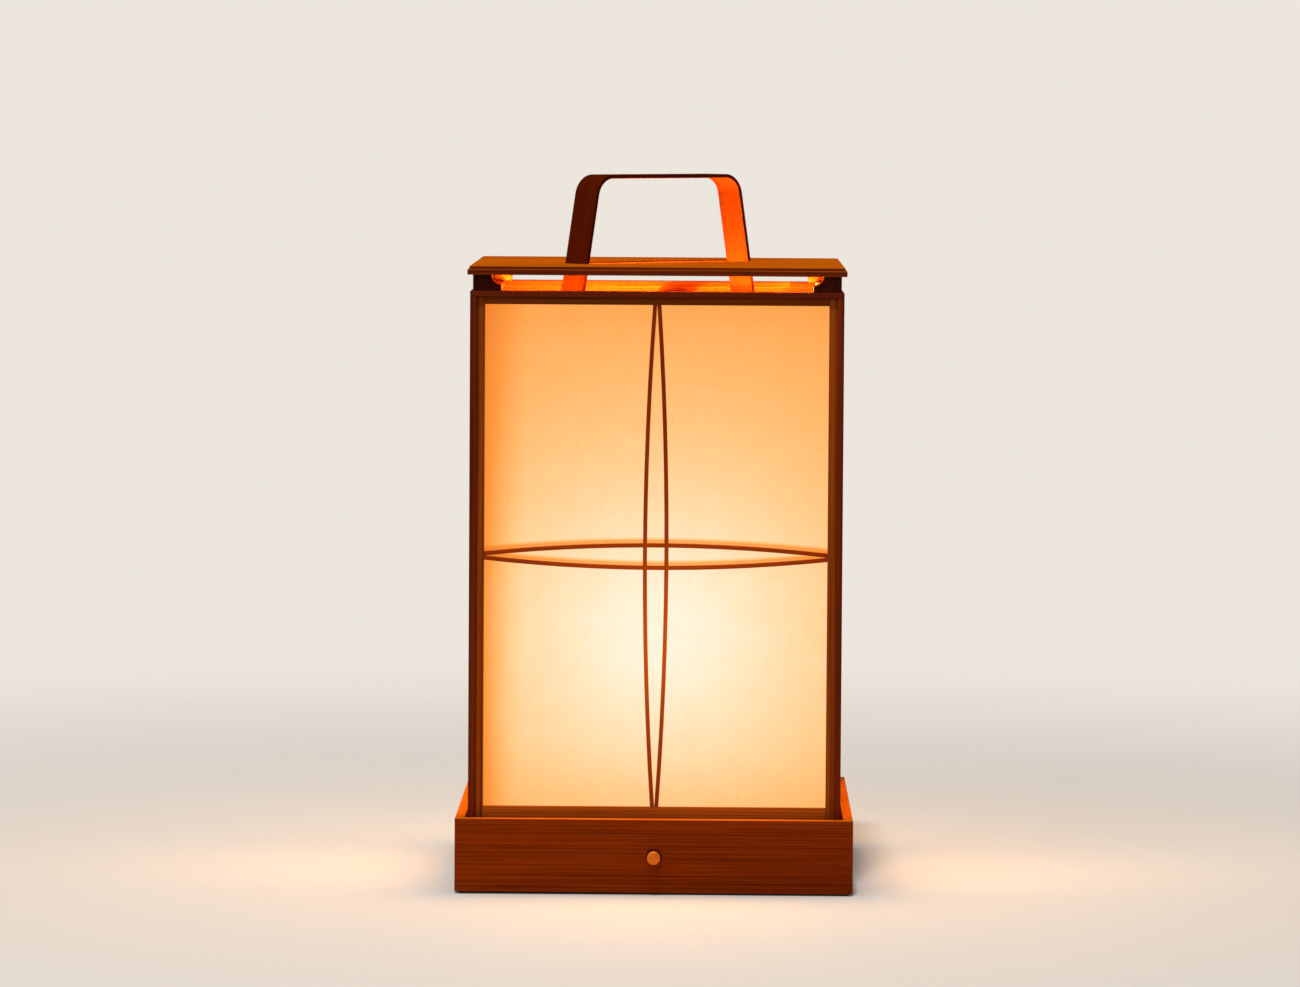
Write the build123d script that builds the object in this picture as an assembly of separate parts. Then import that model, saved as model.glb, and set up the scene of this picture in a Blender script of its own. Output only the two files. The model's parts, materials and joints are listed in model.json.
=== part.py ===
from build123d import *
import math
import os

# Andon floor lamp: a paper-sided shade that lifts out of a tray base.
# Millimetres, +Z up, front towards -Y. The origin is on the floor under the middle of the tray.

# ---------------------------------------------------------------- tray
TRAY_WIDTH = 300.0
TRAY_HEIGHT = 57.0
RIM_THICKNESS = 7.5
RIM_ROUND = 0.6
FELT_THICKNESS = 1.5
FELT_INSET = 3.0
TRAY_FLOOR_THICKNESS = 4.0
DECK_THICKNESS = 6.0
RECESS_DEPTH = 11.0  # top edge of the tray down to the deck
GLUE_BLOCK_WIDTH = 14.0
SCREW_RADIUS = 1.5
SCREW_HEAD_RADIUS = 3.0
SCREW_HEAD_HEIGHT = 1.8
TRAY_SCREW_LENGTH = 11.0

# ---------------------------------------------------------------- shade
TRAY_GAP = 2.0  # between tray and shade, all round
SHADE_HEIGHT = 408.0
RING_THICKNESS = 4.3
RING_WIDTH = 18.0
RING_ROUND = 0.8
LEDGER_HEIGHT = 4.7  # under the top ring's inner edge
LEDGER_SETBACK = 1.7  # ring's inner edge to the ledger's
BEAD_WIDTH = 4.8
BEAD_CHAMFER = 1.2
TONGUE_THICKNESS = 1.2
TONGUE_LENGTH = 6.0
GLUE_GAP = 0.05

PANEL_RECESS = 3.5
PANEL_THICKNESS = 7.0
STILE_WIDTH = 6.4
TOP_RAIL_HEIGHT = 5.8
BOTTOM_RAIL_HEIGHT = 14.7
REBATE_WIDTH = 1.5
LATTICE_RECESS = 0.5
LATTICE_DEPTH = 4.0
STRIP_WIDTH = 3.1
UPRIGHT_BOW = 8.1  # middle of an upright strip, from the panel's centre line
LEVEL_BOW = 8.5  # middle of a level strip, from the panel's centre line
TIP_GAP = 0.1
PAPER_THICKNESS = 0.4
PAPER_MARGIN = 0.1

VENT_HEIGHT = 12.0
VENT_BLOCK_WIDTH = 21.0
VENT_BLOCK_INSET = 2.1
COVE_RADIUS = 7.5

LID_OVERHANG = 2.0
LID_LOWER_THICKNESS = 4.2
LID_UPPER_THICKNESS = 2.3
LID_STEP = 1.5
LID_ROUND = 0.4

# ---------------------------------------------------------------- handle, set on the diagonal
HANDLE_WIDTH = 24.0
HANDLE_THICKNESS = 3.0
HANDLE_RISE = 67.5  # lid top to handle top
HANDLE_FOOT_REACH = 89.0  # outside of a leg at the lid's top, from the lamp's axis
HANDLE_TOP_REACH = 76.0  # where the outside of a leg would meet the top
HANDLE_BEND_RADIUS = 18.0
SLOT_CLEARANCE = 0.3
MORTISE_CLEARANCE = 0.05
BRACE_WIDTH = 16.0
BRACE_THICKNESS = 10.0
BRACE_END_GAP = 0.2
LEG_TAIL = 9.0  # leg below the brace
PEG_RADIUS = 2.0
PEG_LENGTH = 14.0
BRACE_SCREW_LENGTH = 14.0

# ---------------------------------------------------------------- lamp holder and bulb
STEM_RADIUS = 5.0
STEM_BORE_RADIUS = 3.5
STEM_CLEARANCE = 0.25
STEM_BELOW_DECK = 8.0
NUT_WIDTH = 14.0  # across flats
NUT_HEIGHT = 4.0
HOLDER_RISE = 22.0  # deck to the holder's neck
HOLDER_NECK_RADIUS = 12.0
HOLDER_NECK_HEIGHT = 10.0
HOLDER_SHOULDER = 5.0
HOLDER_RADIUS = 20.0
HOLDER_FLOOR = 14.0  # holder's neck end up to its chamber
HOLDER_STEM_SEAT = 8.0
CHAMBER_RADIUS = 15.0
SHELL_THICKNESS = 0.8
SHELL_HEIGHT = 24.0
CONTACT_RADIUS = 4.0
CONTACT_HEIGHT = 2.0
CAP_RADIUS = 13.1
CAP_LENGTH = 28.0
CAP_TIP_HEIGHT = 2.0
CAP_TIP_RADIUS = 5.0
CAP_CONE_HEIGHT = 4.0
CAP_CLEARANCE = 0.3
COLLAR_FOOT_RADIUS = 14.5
COLLAR_HEIGHT = 26.0
COLLAR_TOP_RADIUS = 25.0
GLOBE_RADIUS = 47.5
GLOBE_WALL = 1.2

# ---------------------------------------------------------------- push-and-turn dimmer
KNOB_HEIGHT = 29.0  # floor to the knob's axis
KNOB_RADIUS = 5.25
KNOB_HOLE_RADIUS = 6.0
KNOB_PROUD = 12.0
KNOB_INNER_END = 1.0  # knob's back end, behind the tray front's inner face
KNOB_DOME = 0.7
KNOB_EDGE = 0.6
PUSH_TRAVEL = 1.5
PUSH_CLEARANCE = 1.5
SHAFT_RADIUS = 3.0
SHAFT_CLEARANCE = 0.05
SHAFT_IN_KNOB = 14.0
GRUB_RADIUS = 1.25
GRUB_FROM_FACE = 5.0
BRACKET_THICKNESS = 1.5
BRACKET_WIDTH = 30.0
BRACKET_FOOT = 20.0
BRACKET_SCREW_SPREAD = 10.0
BUSHING_RADIUS = 4.5
BUSHING_CLEARANCE = 0.1
BUSHING_PROUD = 0.5  # past its nut
DIMMER_NUT_WIDTH = 12.0
DIMMER_NUT_HEIGHT = 2.5
HOUSING_WIDTH = 26.0
HOUSING_HEIGHT = 20.0
HOUSING_DEPTH = 16.0
HOUSING_WALL = 2.0
CARRIAGE_DEPTH = 4.0
CARRIAGE_CLEARANCE = 0.2
SPRING_RADIUS = 3.5
SPRING_WIRE_RADIUS = 0.35
SPRING_TURNS = 4.0

# ---------------------------------------------------------------- wiring inside the tray
CORD_RADIUS = 3.6
GROMMET_HEIGHT = 22.0
GROMMET_RADIUS = 5.5
GROMMET_FLANGE_RADIUS = 7.5
GROMMET_FLANGE = 2.0
TERMINAL_LENGTH = 24.0
TERMINAL_DEPTH = 14.0
TERMINAL_HEIGHT = 12.0
TERMINAL_SETBACK = 34.0  # from the tray back's inner face
TERMINAL_SCREW_RADIUS = 1.6
LEAD_RADIUS = 2.0
LEAD_SPACING = 7.0  # each lead, from the dimmer's centre line
LEAD_RUN = 20.0  # straight, where a lead leaves what it is wired to
LEAD_SWAY = 38.0  # how far the supply lead's slack lies to the left
LEAD_LIFT = 1.0  # between a lead and the floor board
LEAD_RISE = 6.0  # extra, where a lead starts to climb
LEAD_TO_STEM = 6.0  # below the stem, where the lamp lead turns up

# ---------------------------------------------------------------- worked out
TRAY_HALF = TRAY_WIDTH / 2
TRAY_INSIDE = TRAY_HALF - RIM_THICKNESS
FLOOR_TOP = FELT_THICKNESS + TRAY_FLOOR_THICKNESS
DECK_TOP = TRAY_HEIGHT - RECESS_DEPTH
DECK_UNDERSIDE = DECK_TOP - DECK_THICKNESS

SHADE_HALF = TRAY_INSIDE - TRAY_GAP
SHADE_TOP = DECK_TOP + SHADE_HEIGHT
RING_UNDERSIDE = SHADE_TOP - RING_THICKNESS
PANEL_BOTTOM = DECK_TOP + RING_THICKNESS
OPENING_BOTTOM = PANEL_BOTTOM + BOTTOM_RAIL_HEIGHT
OPENING_TOP = RING_UNDERSIDE - TOP_RAIL_HEIGHT
BEAD_INSIDE = SHADE_HALF - BEAD_WIDTH
PANEL_FACE = SHADE_HALF - PANEL_RECESS
PANEL_BACK = PANEL_FACE - PANEL_THICKNESS
OPENING_HALF = BEAD_INSIDE - STILE_WIDTH
LATTICE_FACE = PANEL_FACE - LATTICE_RECESS
PAPER_FACE = LATTICE_FACE - LATTICE_DEPTH
REBATE_HALF = OPENING_HALF + REBATE_WIDTH
MITRE_OFFSET = (TONGUE_THICKNESS / 2 + GLUE_GAP) * math.sqrt(2)

LID_BOTTOM = SHADE_TOP + VENT_HEIGHT
LID_HALF = SHADE_HALF + LID_OVERHANG
LID_TOP = LID_BOTTOM + LID_LOWER_THICKNESS + LID_UPPER_THICKNESS
HANDLE_TOP = LID_TOP + HANDLE_RISE
LEG_SLOPE = (HANDLE_FOOT_REACH - HANDLE_TOP_REACH) / HANDLE_RISE
BRACE_TOP = RING_UNDERSIDE - LEDGER_HEIGHT
BRACE_UNDERSIDE = BRACE_TOP - BRACE_THICKNESS
BRACE_END = PANEL_BACK - BRACE_END_GAP
LEDGER_INSIDE = SHADE_HALF - RING_WIDTH + LEDGER_SETBACK
LEG_BOTTOM = BRACE_UNDERSIDE - LEG_TAIL
LEG_SPREAD = math.sqrt(1 + LEG_SLOPE**2)  # a leg's thickness measured level, over its thickness

HOLDER_BOTTOM = DECK_TOP + HOLDER_RISE
CHAMBER_FLOOR = HOLDER_BOTTOM + HOLDER_FLOOR
CAP_BOTTOM = CHAMBER_FLOOR + CONTACT_HEIGHT
COLLAR_BOTTOM = CAP_BOTTOM + CAP_LENGTH
HOLDER_TOP = COLLAR_BOTTOM - CAP_CLEARANCE
COLLAR_TOP = COLLAR_BOTTOM + COLLAR_HEIGHT
GLOBE_CENTRE = COLLAR_TOP + math.sqrt(GLOBE_RADIUS**2 - COLLAR_TOP_RADIUS**2)

KNOB_FACE = -(TRAY_HALF + KNOB_PROUD)
KNOB_BACK = -(TRAY_INSIDE - KNOB_INNER_END)
BUSHING_FACE = KNOB_BACK + PUSH_TRAVEL + PUSH_CLEARANCE
BRACKET_FACE = BUSHING_FACE + BUSHING_PROUD + DIMMER_NUT_HEIGHT
HOUSING_FACE = BRACKET_FACE + BRACKET_THICKNESS
HOUSING_BACK = HOUSING_FACE + HOUSING_DEPTH
CAVITY_FACE = HOUSING_FACE + HOUSING_WALL
CAVITY_BACK = HOUSING_BACK - HOUSING_WALL
CARRIAGE_FACE = CAVITY_FACE + HOUSING_WALL
CARRIAGE_BACK = CARRIAGE_FACE + CARRIAGE_DEPTH
SHAFT_FACE = KNOB_BACK - SHAFT_IN_KNOB

SIDES = {"front": 0, "right": 90, "back": 180, "left": 270}
CORNERS = {"front_right": 0, "back_right": 90, "back_left": 180, "front_left": 270}


# ---------------------------------------------------------------- helpers
def block(x_low, x_high, y_low, y_high, z_low, z_high):
    """A box between two opposite corners."""
    size = (x_high - x_low, y_high - y_low, z_high - z_low)
    centre = ((x_low + x_high) / 2, (y_low + y_high) / 2, (z_low + z_high) / 2)
    return Pos(*centre) * Box(*size)


def prism(outline, z_low, z_high):
    """A plan outline raised from one height to another."""
    return extrude(Pos(0, 0, z_low) * make_face(Polyline(*outline, close=True)), z_high - z_low)


def turned(profile):
    """A (radius, height) outline turned about the Z axis."""
    return revolve(make_face(Polyline(*[(r, 0, z) for r, z in profile], close=True)), Axis.Z)


def along_y(radius, y_low, y_high, x=0.0, z=0.0):
    """A cylinder that runs front to back."""
    return Pos(x, (y_low + y_high) / 2, z) * Rot(90, 0, 0) * Cylinder(radius, y_high - y_low)


def rod(radius, z_low, z_high, x=0.0, y=0.0):
    """An upright cylinder."""
    return Pos(x, y, (z_low + z_high) / 2) * Cylinder(radius, z_high - z_low)


def turned_to(angle, shape):
    """A shape swung about the lamp's axis to another side or corner."""
    return Rot(0, 0, angle) * shape


def mitred_board(outside, width, z_low, z_high):
    """The front board of a square ring with mitred corners."""
    inside = outside - width
    outline = [(-outside, -outside), (outside, -outside), (inside, -inside), (-inside, -inside)]
    return prism(outline, z_low, z_high)


def outer_edges(shape, outside, z):
    """The long edges of a front board, on its outer face, at height z."""
    on_face = [e for e in shape.edges() if abs(e.center().Y + outside) < 1e-3]
    return [e for e in on_face if abs(e.center().Z - z) < 1e-3 and abs(e.center().X) < 1e-3]


def countersunk(length, head_z, points_up, x, y):
    """A countersunk screw whose head is flush with the height head_z."""
    profile = [
        (0, 0),
        (SCREW_HEAD_RADIUS, 0),
        (SCREW_RADIUS, SCREW_HEAD_HEIGHT),
        (SCREW_RADIUS, length - SCREW_RADIUS),
        (0, length),
    ]
    screw = turned(profile)
    if not points_up:
        screw = Rot(180, 0, 0) * screw
    return Pos(x, y, head_z) * screw


def hex_nut(width, height, bore):
    """A hexagon nut, standing on its face."""
    flat = extrude(RegularPolygon(width / math.sqrt(3), 6), height)
    return flat - Pos(0, 0, height / 2) * Cylinder(bore, height)


def save(name, *shapes):
    """Writes a node of one or more separate solids."""
    solids = [solid for shape in shapes for solid in shape.solids()]
    export_step(solids[0] if len(solids) == 1 else Compound(solids), f"parts/{name}.step")


# ---------------------------------------------------------------- tray boards
def tray_board(side):
    board = mitred_board(TRAY_HALF, RIM_THICKNESS, FELT_THICKNESS, TRAY_HEIGHT)
    board = fillet(outer_edges(board, TRAY_HALF, TRAY_HEIGHT), RIM_ROUND)
    if side == "front":
        board -= along_y(KNOB_HOLE_RADIUS, -TRAY_HALF - 1, -TRAY_INSIDE + 1, z=KNOB_HEIGHT)
    if side == "back":
        board -= along_y(GROMMET_RADIUS, -TRAY_HALF - 1, -TRAY_INSIDE + 1, z=GROMMET_HEIGHT)
    return turned_to(SIDES[side], board)


def tray_screws():
    corner = TRAY_INSIDE - GLUE_BLOCK_WIDTH / 2
    places = [(x, y) for x in (-corner, corner) for y in (-corner, corner)]
    foot_y = HOUSING_FACE + BRACKET_FOOT / 2
    places += [(-BRACKET_SCREW_SPREAD, foot_y), (BRACKET_SCREW_SPREAD, foot_y)]
    return [countersunk(TRAY_SCREW_LENGTH, FELT_THICKNESS, True, x, y) for x, y in places]


# ---------------------------------------------------------------- shade frames
def ring_board(z_low):
    board = mitred_board(SHADE_HALF, RING_WIDTH, z_low, z_low + RING_THICKNESS)
    edges = outer_edges(board, SHADE_HALF, z_low) + outer_edges(board, SHADE_HALF, z_low + RING_THICKNESS)
    return fillet(edges, RING_ROUND)


def top_ring_board():
    """A ring board with a ledger under its inner edge, behind the panel, which carries the braces."""
    ledger = mitred_board(BRACE_END, BRACE_END - LEDGER_INSIDE, BRACE_TOP, RING_UNDERSIDE)
    return ring_board(RING_UNDERSIDE) + ledger


def corner_bead():
    """The front right bead: a square strip with a tongue that runs into the corner's mitre."""
    bead = block(BEAD_INSIDE, SHADE_HALF, -SHADE_HALF, -BEAD_INSIDE, PANEL_BOTTOM, RING_UNDERSIDE)
    corner = [e for e in bead.edges() if abs(e.center().X - SHADE_HALF) < 1e-3]
    corner = [e for e in corner if abs(e.center().Y + SHADE_HALF) < 1e-3]
    bead = chamfer(corner, BEAD_CHAMFER)
    bite = BEAD_WIDTH / 2
    middle = BEAD_INSIDE + (bite - TONGUE_LENGTH) / 2 / math.sqrt(2)
    tongue = Box(TONGUE_LENGTH + bite, TONGUE_THICKNESS, RING_UNDERSIDE - PANEL_BOTTOM)
    height = (RING_UNDERSIDE + PANEL_BOTTOM) / 2
    return bead + Pos(middle, -middle, height) * Rot(0, 0, -45) * tongue


def stiles():
    """The two uprights of the front panel, mitred along their length and rebated for the paper."""
    outline = [
        (OPENING_HALF, -PANEL_FACE),
        (BEAD_INSIDE, -PANEL_FACE),
        (BEAD_INSIDE, -BEAD_INSIDE - MITRE_OFFSET),
        (REBATE_HALF, -REBATE_HALF - MITRE_OFFSET),
        (REBATE_HALF, -PAPER_FACE),
        (OPENING_HALF, -PAPER_FACE),
    ]
    right = prism(outline, PANEL_BOTTOM, RING_UNDERSIDE)
    return [right, mirror(right, Plane.YZ)]


def rails():
    """The top and bottom rails of the front panel, rebated for the paper."""
    span = (-OPENING_HALF, OPENING_HALF)
    top = block(*span, -PANEL_FACE, -PANEL_BACK, OPENING_TOP, RING_UNDERSIDE)
    top -= block(*span, -PAPER_FACE, -PANEL_BACK, OPENING_TOP, OPENING_TOP + REBATE_WIDTH)
    bottom = block(*span, -PANEL_FACE, -PANEL_BACK, PANEL_BOTTOM, OPENING_BOTTOM)
    bottom -= block(*span, -PAPER_FACE, -PANEL_BACK, OPENING_BOTTOM - REBATE_WIDTH, OPENING_BOTTOM)
    return [top, bottom]


def bowed_strip(length, bow):
    """A strip along X, bent to an arc whose ends are half a strip from the line and middle at bow."""
    end = (STRIP_WIDTH + TIP_GAP) / 2
    half = STRIP_WIDTH / 2
    far = ThreePointArc((-length / 2, end + half), (0, bow + half), (length / 2, end + half))
    near = ThreePointArc((length / 2, end - half), (0, bow - half), (-length / 2, end - half))
    face = make_face([far, Line(far @ 1, near @ 0), near, Line(near @ 1, far @ 0)])
    return extrude(face, LATTICE_DEPTH)


def lattice():
    """Two bowed uprights and two bowed level strips, half-lapped where they cross."""
    middle = (OPENING_TOP + OPENING_BOTTOM) / 2
    stand = Pos(0, -PAPER_FACE, middle) * Rot(90, 0, 0)
    level = bowed_strip(2 * OPENING_HALF, LEVEL_BOW)
    upright = Rot(0, 0, 90) * bowed_strip(OPENING_TOP - OPENING_BOTTOM, UPRIGHT_BOW)
    levels = [stand * level, stand * mirror(level, Plane.XZ)]
    uprights = [stand * upright, stand * mirror(upright, Plane.YZ)]
    half_depth = (PAPER_FACE + LATTICE_FACE) / 2
    reach = OPENING_TOP - OPENING_BOTTOM
    front_half = block(-reach, reach, -LATTICE_FACE - 1, -half_depth, 0, SHADE_TOP)
    back_half = block(-reach, reach, -half_depth, -PAPER_FACE + 1, 0, SHADE_TOP)
    lapped = []
    for strip in levels:
        for crossing in uprights:
            strip -= crossing & front_half
        lapped.append(strip)
    for strip in uprights:
        for crossing in levels:
            strip -= crossing & back_half
        lapped.append(strip)
    return lapped


def paper():
    half = REBATE_HALF - PAPER_MARGIN
    top = OPENING_TOP + REBATE_WIDTH - PAPER_MARGIN
    bottom = OPENING_BOTTOM - REBATE_WIDTH + PAPER_MARGIN
    return block(-half, half, -PAPER_FACE, -PAPER_FACE + PAPER_THICKNESS, bottom, top)


def vent_block():
    """The front right block under the lid, coved on its two inner faces."""
    outer = SHADE_HALF - VENT_BLOCK_INSET
    inner = outer - VENT_BLOCK_WIDTH
    body = block(inner, outer, -outer, -inner, SHADE_TOP, LID_BOTTOM)
    cove = along_y(COVE_RADIUS, -outer - 1, -inner + 1, x=inner, z=LID_BOTTOM)
    across = Rot(0, 0, 90) * along_y(COVE_RADIUS, -outer - 1, -inner + 1, x=-inner, z=LID_BOTTOM)
    return body - cove - across


# ---------------------------------------------------------------- handle, what carries it, lid
def leg_reach(z):
    """How far a leg's outer face stands from the lamp's axis at a height."""
    return HANDLE_FOOT_REACH + LEG_SLOPE * (LID_TOP - z)


def leg_middle(z):
    """How far the middle of a leg's thickness stands from the lamp's axis at a height."""
    return leg_reach(z) - HANDLE_THICKNESS / 2 * LEG_SPREAD


def handle_outline(inset, foot_z):
    """The trapezoid round the handle, in the handle's own plane, set in by an amount."""
    top = HANDLE_TOP - inset
    foot = leg_reach(foot_z) - inset * LEG_SPREAD
    crown = leg_reach(top) - inset * LEG_SPREAD
    face = make_face(Polyline((-foot, foot_z), (-crown, top), (crown, top), (foot, foot_z), close=True))
    corners = [v for v in face.vertices() if abs(v.Y - top) < 1e-3]
    return fillet(corners, HANDLE_BEND_RADIUS - inset)


def bent_strip(growth=0.0):
    """The handle's strip, or with growth the space it needs on all sides."""
    outer = handle_outline(-growth, LEG_BOTTOM)
    inner = handle_outline(HANDLE_THICKNESS + growth, LEG_BOTTOM)
    hoop = extrude(Plane.XZ * (outer - inner), HANDLE_WIDTH / 2 + growth, both=True)
    return turned_to(45, hoop)


def pegs():
    """Two keys through the legs, just under the braces, so that the legs can't pull out upwards."""
    z = BRACE_UNDERSIDE - GLUE_GAP - PEG_RADIUS
    peg = Rot(0, 90, 0) * Cylinder(PEG_RADIUS, PEG_LENGTH)
    return [turned_to(45, Pos(s, 0, z) * peg) for s in (-leg_middle(z), leg_middle(z))]


def brace_middle():
    return leg_middle((BRACE_TOP + BRACE_UNDERSIDE) / 2)


def brace_screws():
    """Screws down through the top ring and its ledgers into the ends of the two braces."""
    near = (LEDGER_INSIDE + BRACE_END) / 2
    far = brace_middle() * math.sqrt(2) - near
    places = [(near, far), (far, near), (-near, -far), (-far, -near)]
    return [countersunk(BRACE_SCREW_LENGTH, SHADE_TOP, False, x, y) for x, y in places]


def brace(angle):
    """A bar across a corner of the shade, up against the ledgers, with a mortise for a leg."""
    length = 2 * math.sqrt(2) * BRACE_END
    bar = Pos(brace_middle(), 0, BRACE_UNDERSIDE + BRACE_THICKNESS / 2) * Box(BRACE_WIDTH, length, BRACE_THICKNESS)
    bar = turned_to(angle, bar)
    bar &= block(-BRACE_END, BRACE_END, -BRACE_END, BRACE_END, BRACE_UNDERSIDE, BRACE_TOP)
    bar -= bent_strip(MORTISE_CLEARANCE)
    for screw in brace_screws():
        bar -= screw
    return bar


def handle():
    strip = bent_strip()
    for peg in pegs():
        strip -= peg
    return strip


def handle_slot():
    """The long slot in the lid: the legs pass through its ends, warm air between them."""
    outer = handle_outline(-SLOT_CLEARANCE, LEG_BOTTOM)
    return turned_to(45, extrude(Plane.XZ * outer, HANDLE_WIDTH / 2 + SLOT_CLEARANCE, both=True))


def lid():
    """A square board with a stepped edge and a slot on its diagonal."""
    lower = Box(2 * LID_HALF, 2 * LID_HALF, LID_LOWER_THICKNESS)
    lower = Pos(0, 0, LID_BOTTOM + LID_LOWER_THICKNESS / 2) * lower
    upper_width = 2 * (LID_HALF - LID_STEP)
    upper = Box(upper_width, upper_width, LID_UPPER_THICKNESS)
    upper = Pos(0, 0, LID_TOP - LID_UPPER_THICKNESS / 2) * upper
    upper = fillet(upper.edges().group_by(Axis.Z)[-1], LID_ROUND)
    lower = fillet(lower.edges().group_by(Axis.Z)[-1], LID_ROUND)
    return lower + upper - handle_slot()


# ---------------------------------------------------------------- lamp holder and bulb
def holder_stem():
    bottom = DECK_UNDERSIDE - STEM_BELOW_DECK
    top = HOLDER_BOTTOM + HOLDER_STEM_SEAT
    return rod(STEM_RADIUS, bottom, top) - rod(STEM_BORE_RADIUS, bottom, top)


def lamp_holder():
    shoulder = HOLDER_BOTTOM + HOLDER_NECK_HEIGHT
    seat = HOLDER_BOTTOM + HOLDER_STEM_SEAT
    profile = [
        (STEM_RADIUS, HOLDER_BOTTOM),
        (HOLDER_NECK_RADIUS, HOLDER_BOTTOM),
        (HOLDER_NECK_RADIUS, shoulder),
        (HOLDER_RADIUS, shoulder + HOLDER_SHOULDER),
        (HOLDER_RADIUS, HOLDER_TOP),
        (CHAMBER_RADIUS, HOLDER_TOP),
        (CHAMBER_RADIUS, CHAMBER_FLOOR),
        (0, CHAMBER_FLOOR),
        (0, seat),
        (STEM_RADIUS, seat),
    ]
    return turned(profile)


def holder_contacts():
    inner = CAP_RADIUS + CAP_CLEARANCE
    shell_top = CHAMBER_FLOOR + SHELL_HEIGHT
    shell = rod(inner + SHELL_THICKNESS, CHAMBER_FLOOR, shell_top) - rod(inner, CHAMBER_FLOOR, shell_top)
    centre = rod(CONTACT_RADIUS, CHAMBER_FLOOR, CHAMBER_FLOOR + CONTACT_HEIGHT)
    return [shell, centre]


def bulb_cap():
    tip = CAP_BOTTOM + CAP_TIP_HEIGHT
    profile = [
        (0, CAP_BOTTOM),
        (CAP_TIP_RADIUS, CAP_BOTTOM),
        (CAP_TIP_RADIUS, tip),
        (CAP_RADIUS, tip + CAP_CONE_HEIGHT),
        (CAP_RADIUS, COLLAR_BOTTOM),
        (0, COLLAR_BOTTOM),
    ]
    return turned(profile)


def bulb_collar():
    cone = Cone(COLLAR_FOOT_RADIUS, COLLAR_TOP_RADIUS, COLLAR_HEIGHT)
    return Pos(0, 0, (COLLAR_BOTTOM + COLLAR_TOP) / 2) * cone


def bulb_globe():
    shell = Sphere(GLOBE_RADIUS) - Sphere(GLOBE_RADIUS - GLOBE_WALL)
    shell = Pos(0, 0, GLOBE_CENTRE) * shell
    below = block(-GLOBE_RADIUS, GLOBE_RADIUS, -GLOBE_RADIUS, GLOBE_RADIUS, DECK_TOP, COLLAR_TOP)
    return shell - below


# ---------------------------------------------------------------- dimmer
def dimmer_bracket():
    half = BRACKET_WIDTH / 2
    top = KNOB_HEIGHT + HOUSING_HEIGHT / 2
    plate = block(-half, half, BRACKET_FACE, HOUSING_FACE, FLOOR_TOP, top)
    foot = block(-half, half, BRACKET_FACE, HOUSING_FACE + BRACKET_FOOT, FLOOR_TOP, FLOOR_TOP + BRACKET_THICKNESS)
    bracket = plate + foot
    bracket -= along_y(BUSHING_RADIUS + BUSHING_CLEARANCE, BRACKET_FACE - 1, HOUSING_FACE + 1, z=KNOB_HEIGHT)
    for screw in tray_screws():
        bracket -= screw
    return bracket


def dimmer_housing():
    half = HOUSING_WIDTH / 2
    low = KNOB_HEIGHT - HOUSING_HEIGHT / 2
    high = KNOB_HEIGHT + HOUSING_HEIGHT / 2
    body = block(-half, half, HOUSING_FACE, HOUSING_BACK, low, high)
    body += along_y(BUSHING_RADIUS, BUSHING_FACE, HOUSING_FACE + 1, z=KNOB_HEIGHT)
    cavity = HOUSING_HEIGHT / 2 - HOUSING_WALL
    body -= block(-cavity, cavity, CAVITY_FACE, CAVITY_BACK, KNOB_HEIGHT - cavity, KNOB_HEIGHT + cavity)
    return body - along_y(SHAFT_RADIUS + SHAFT_CLEARANCE, BUSHING_FACE - 1, CAVITY_FACE + 1, z=KNOB_HEIGHT)


def dimmer_nut():
    nut = hex_nut(DIMMER_NUT_WIDTH, DIMMER_NUT_HEIGHT, BUSHING_RADIUS)
    return Pos(0, BRACKET_FACE, KNOB_HEIGHT) * Rot(90, 0, 0) * nut


def switch_carriage():
    half = HOUSING_HEIGHT / 2 - HOUSING_WALL - CARRIAGE_CLEARANCE
    return block(-half, half, CARRIAGE_FACE, CARRIAGE_BACK, KNOB_HEIGHT - half, KNOB_HEIGHT + half)


def dimmer_spring():
    """A coil spring between the carriage and the housing's back wall."""
    height = CAVITY_BACK - CARRIAGE_BACK - 2 * SPRING_WIRE_RADIUS - 2 * GLUE_GAP
    coil = Helix(pitch=height / SPRING_TURNS, height=height, radius=SPRING_RADIUS)
    start = Plane(origin=coil @ 0, z_dir=coil % 0)
    wire = sweep(start * Circle(SPRING_WIRE_RADIUS), path=coil)
    foot = CARRIAGE_BACK + SPRING_WIRE_RADIUS + GLUE_GAP
    return Pos(0, foot, KNOB_HEIGHT) * Rot(-90, 0, 0) * wire


def dimmer_shaft():
    return along_y(SHAFT_RADIUS, SHAFT_FACE, CARRIAGE_FACE, z=KNOB_HEIGHT)


def grub_screw():
    depth = SHAFT_RADIUS + GLUE_GAP
    y = KNOB_FACE + GRUB_FROM_FACE
    return rod(GRUB_RADIUS, KNOB_HEIGHT - KNOB_RADIUS, KNOB_HEIGHT - depth, y=y)


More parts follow.
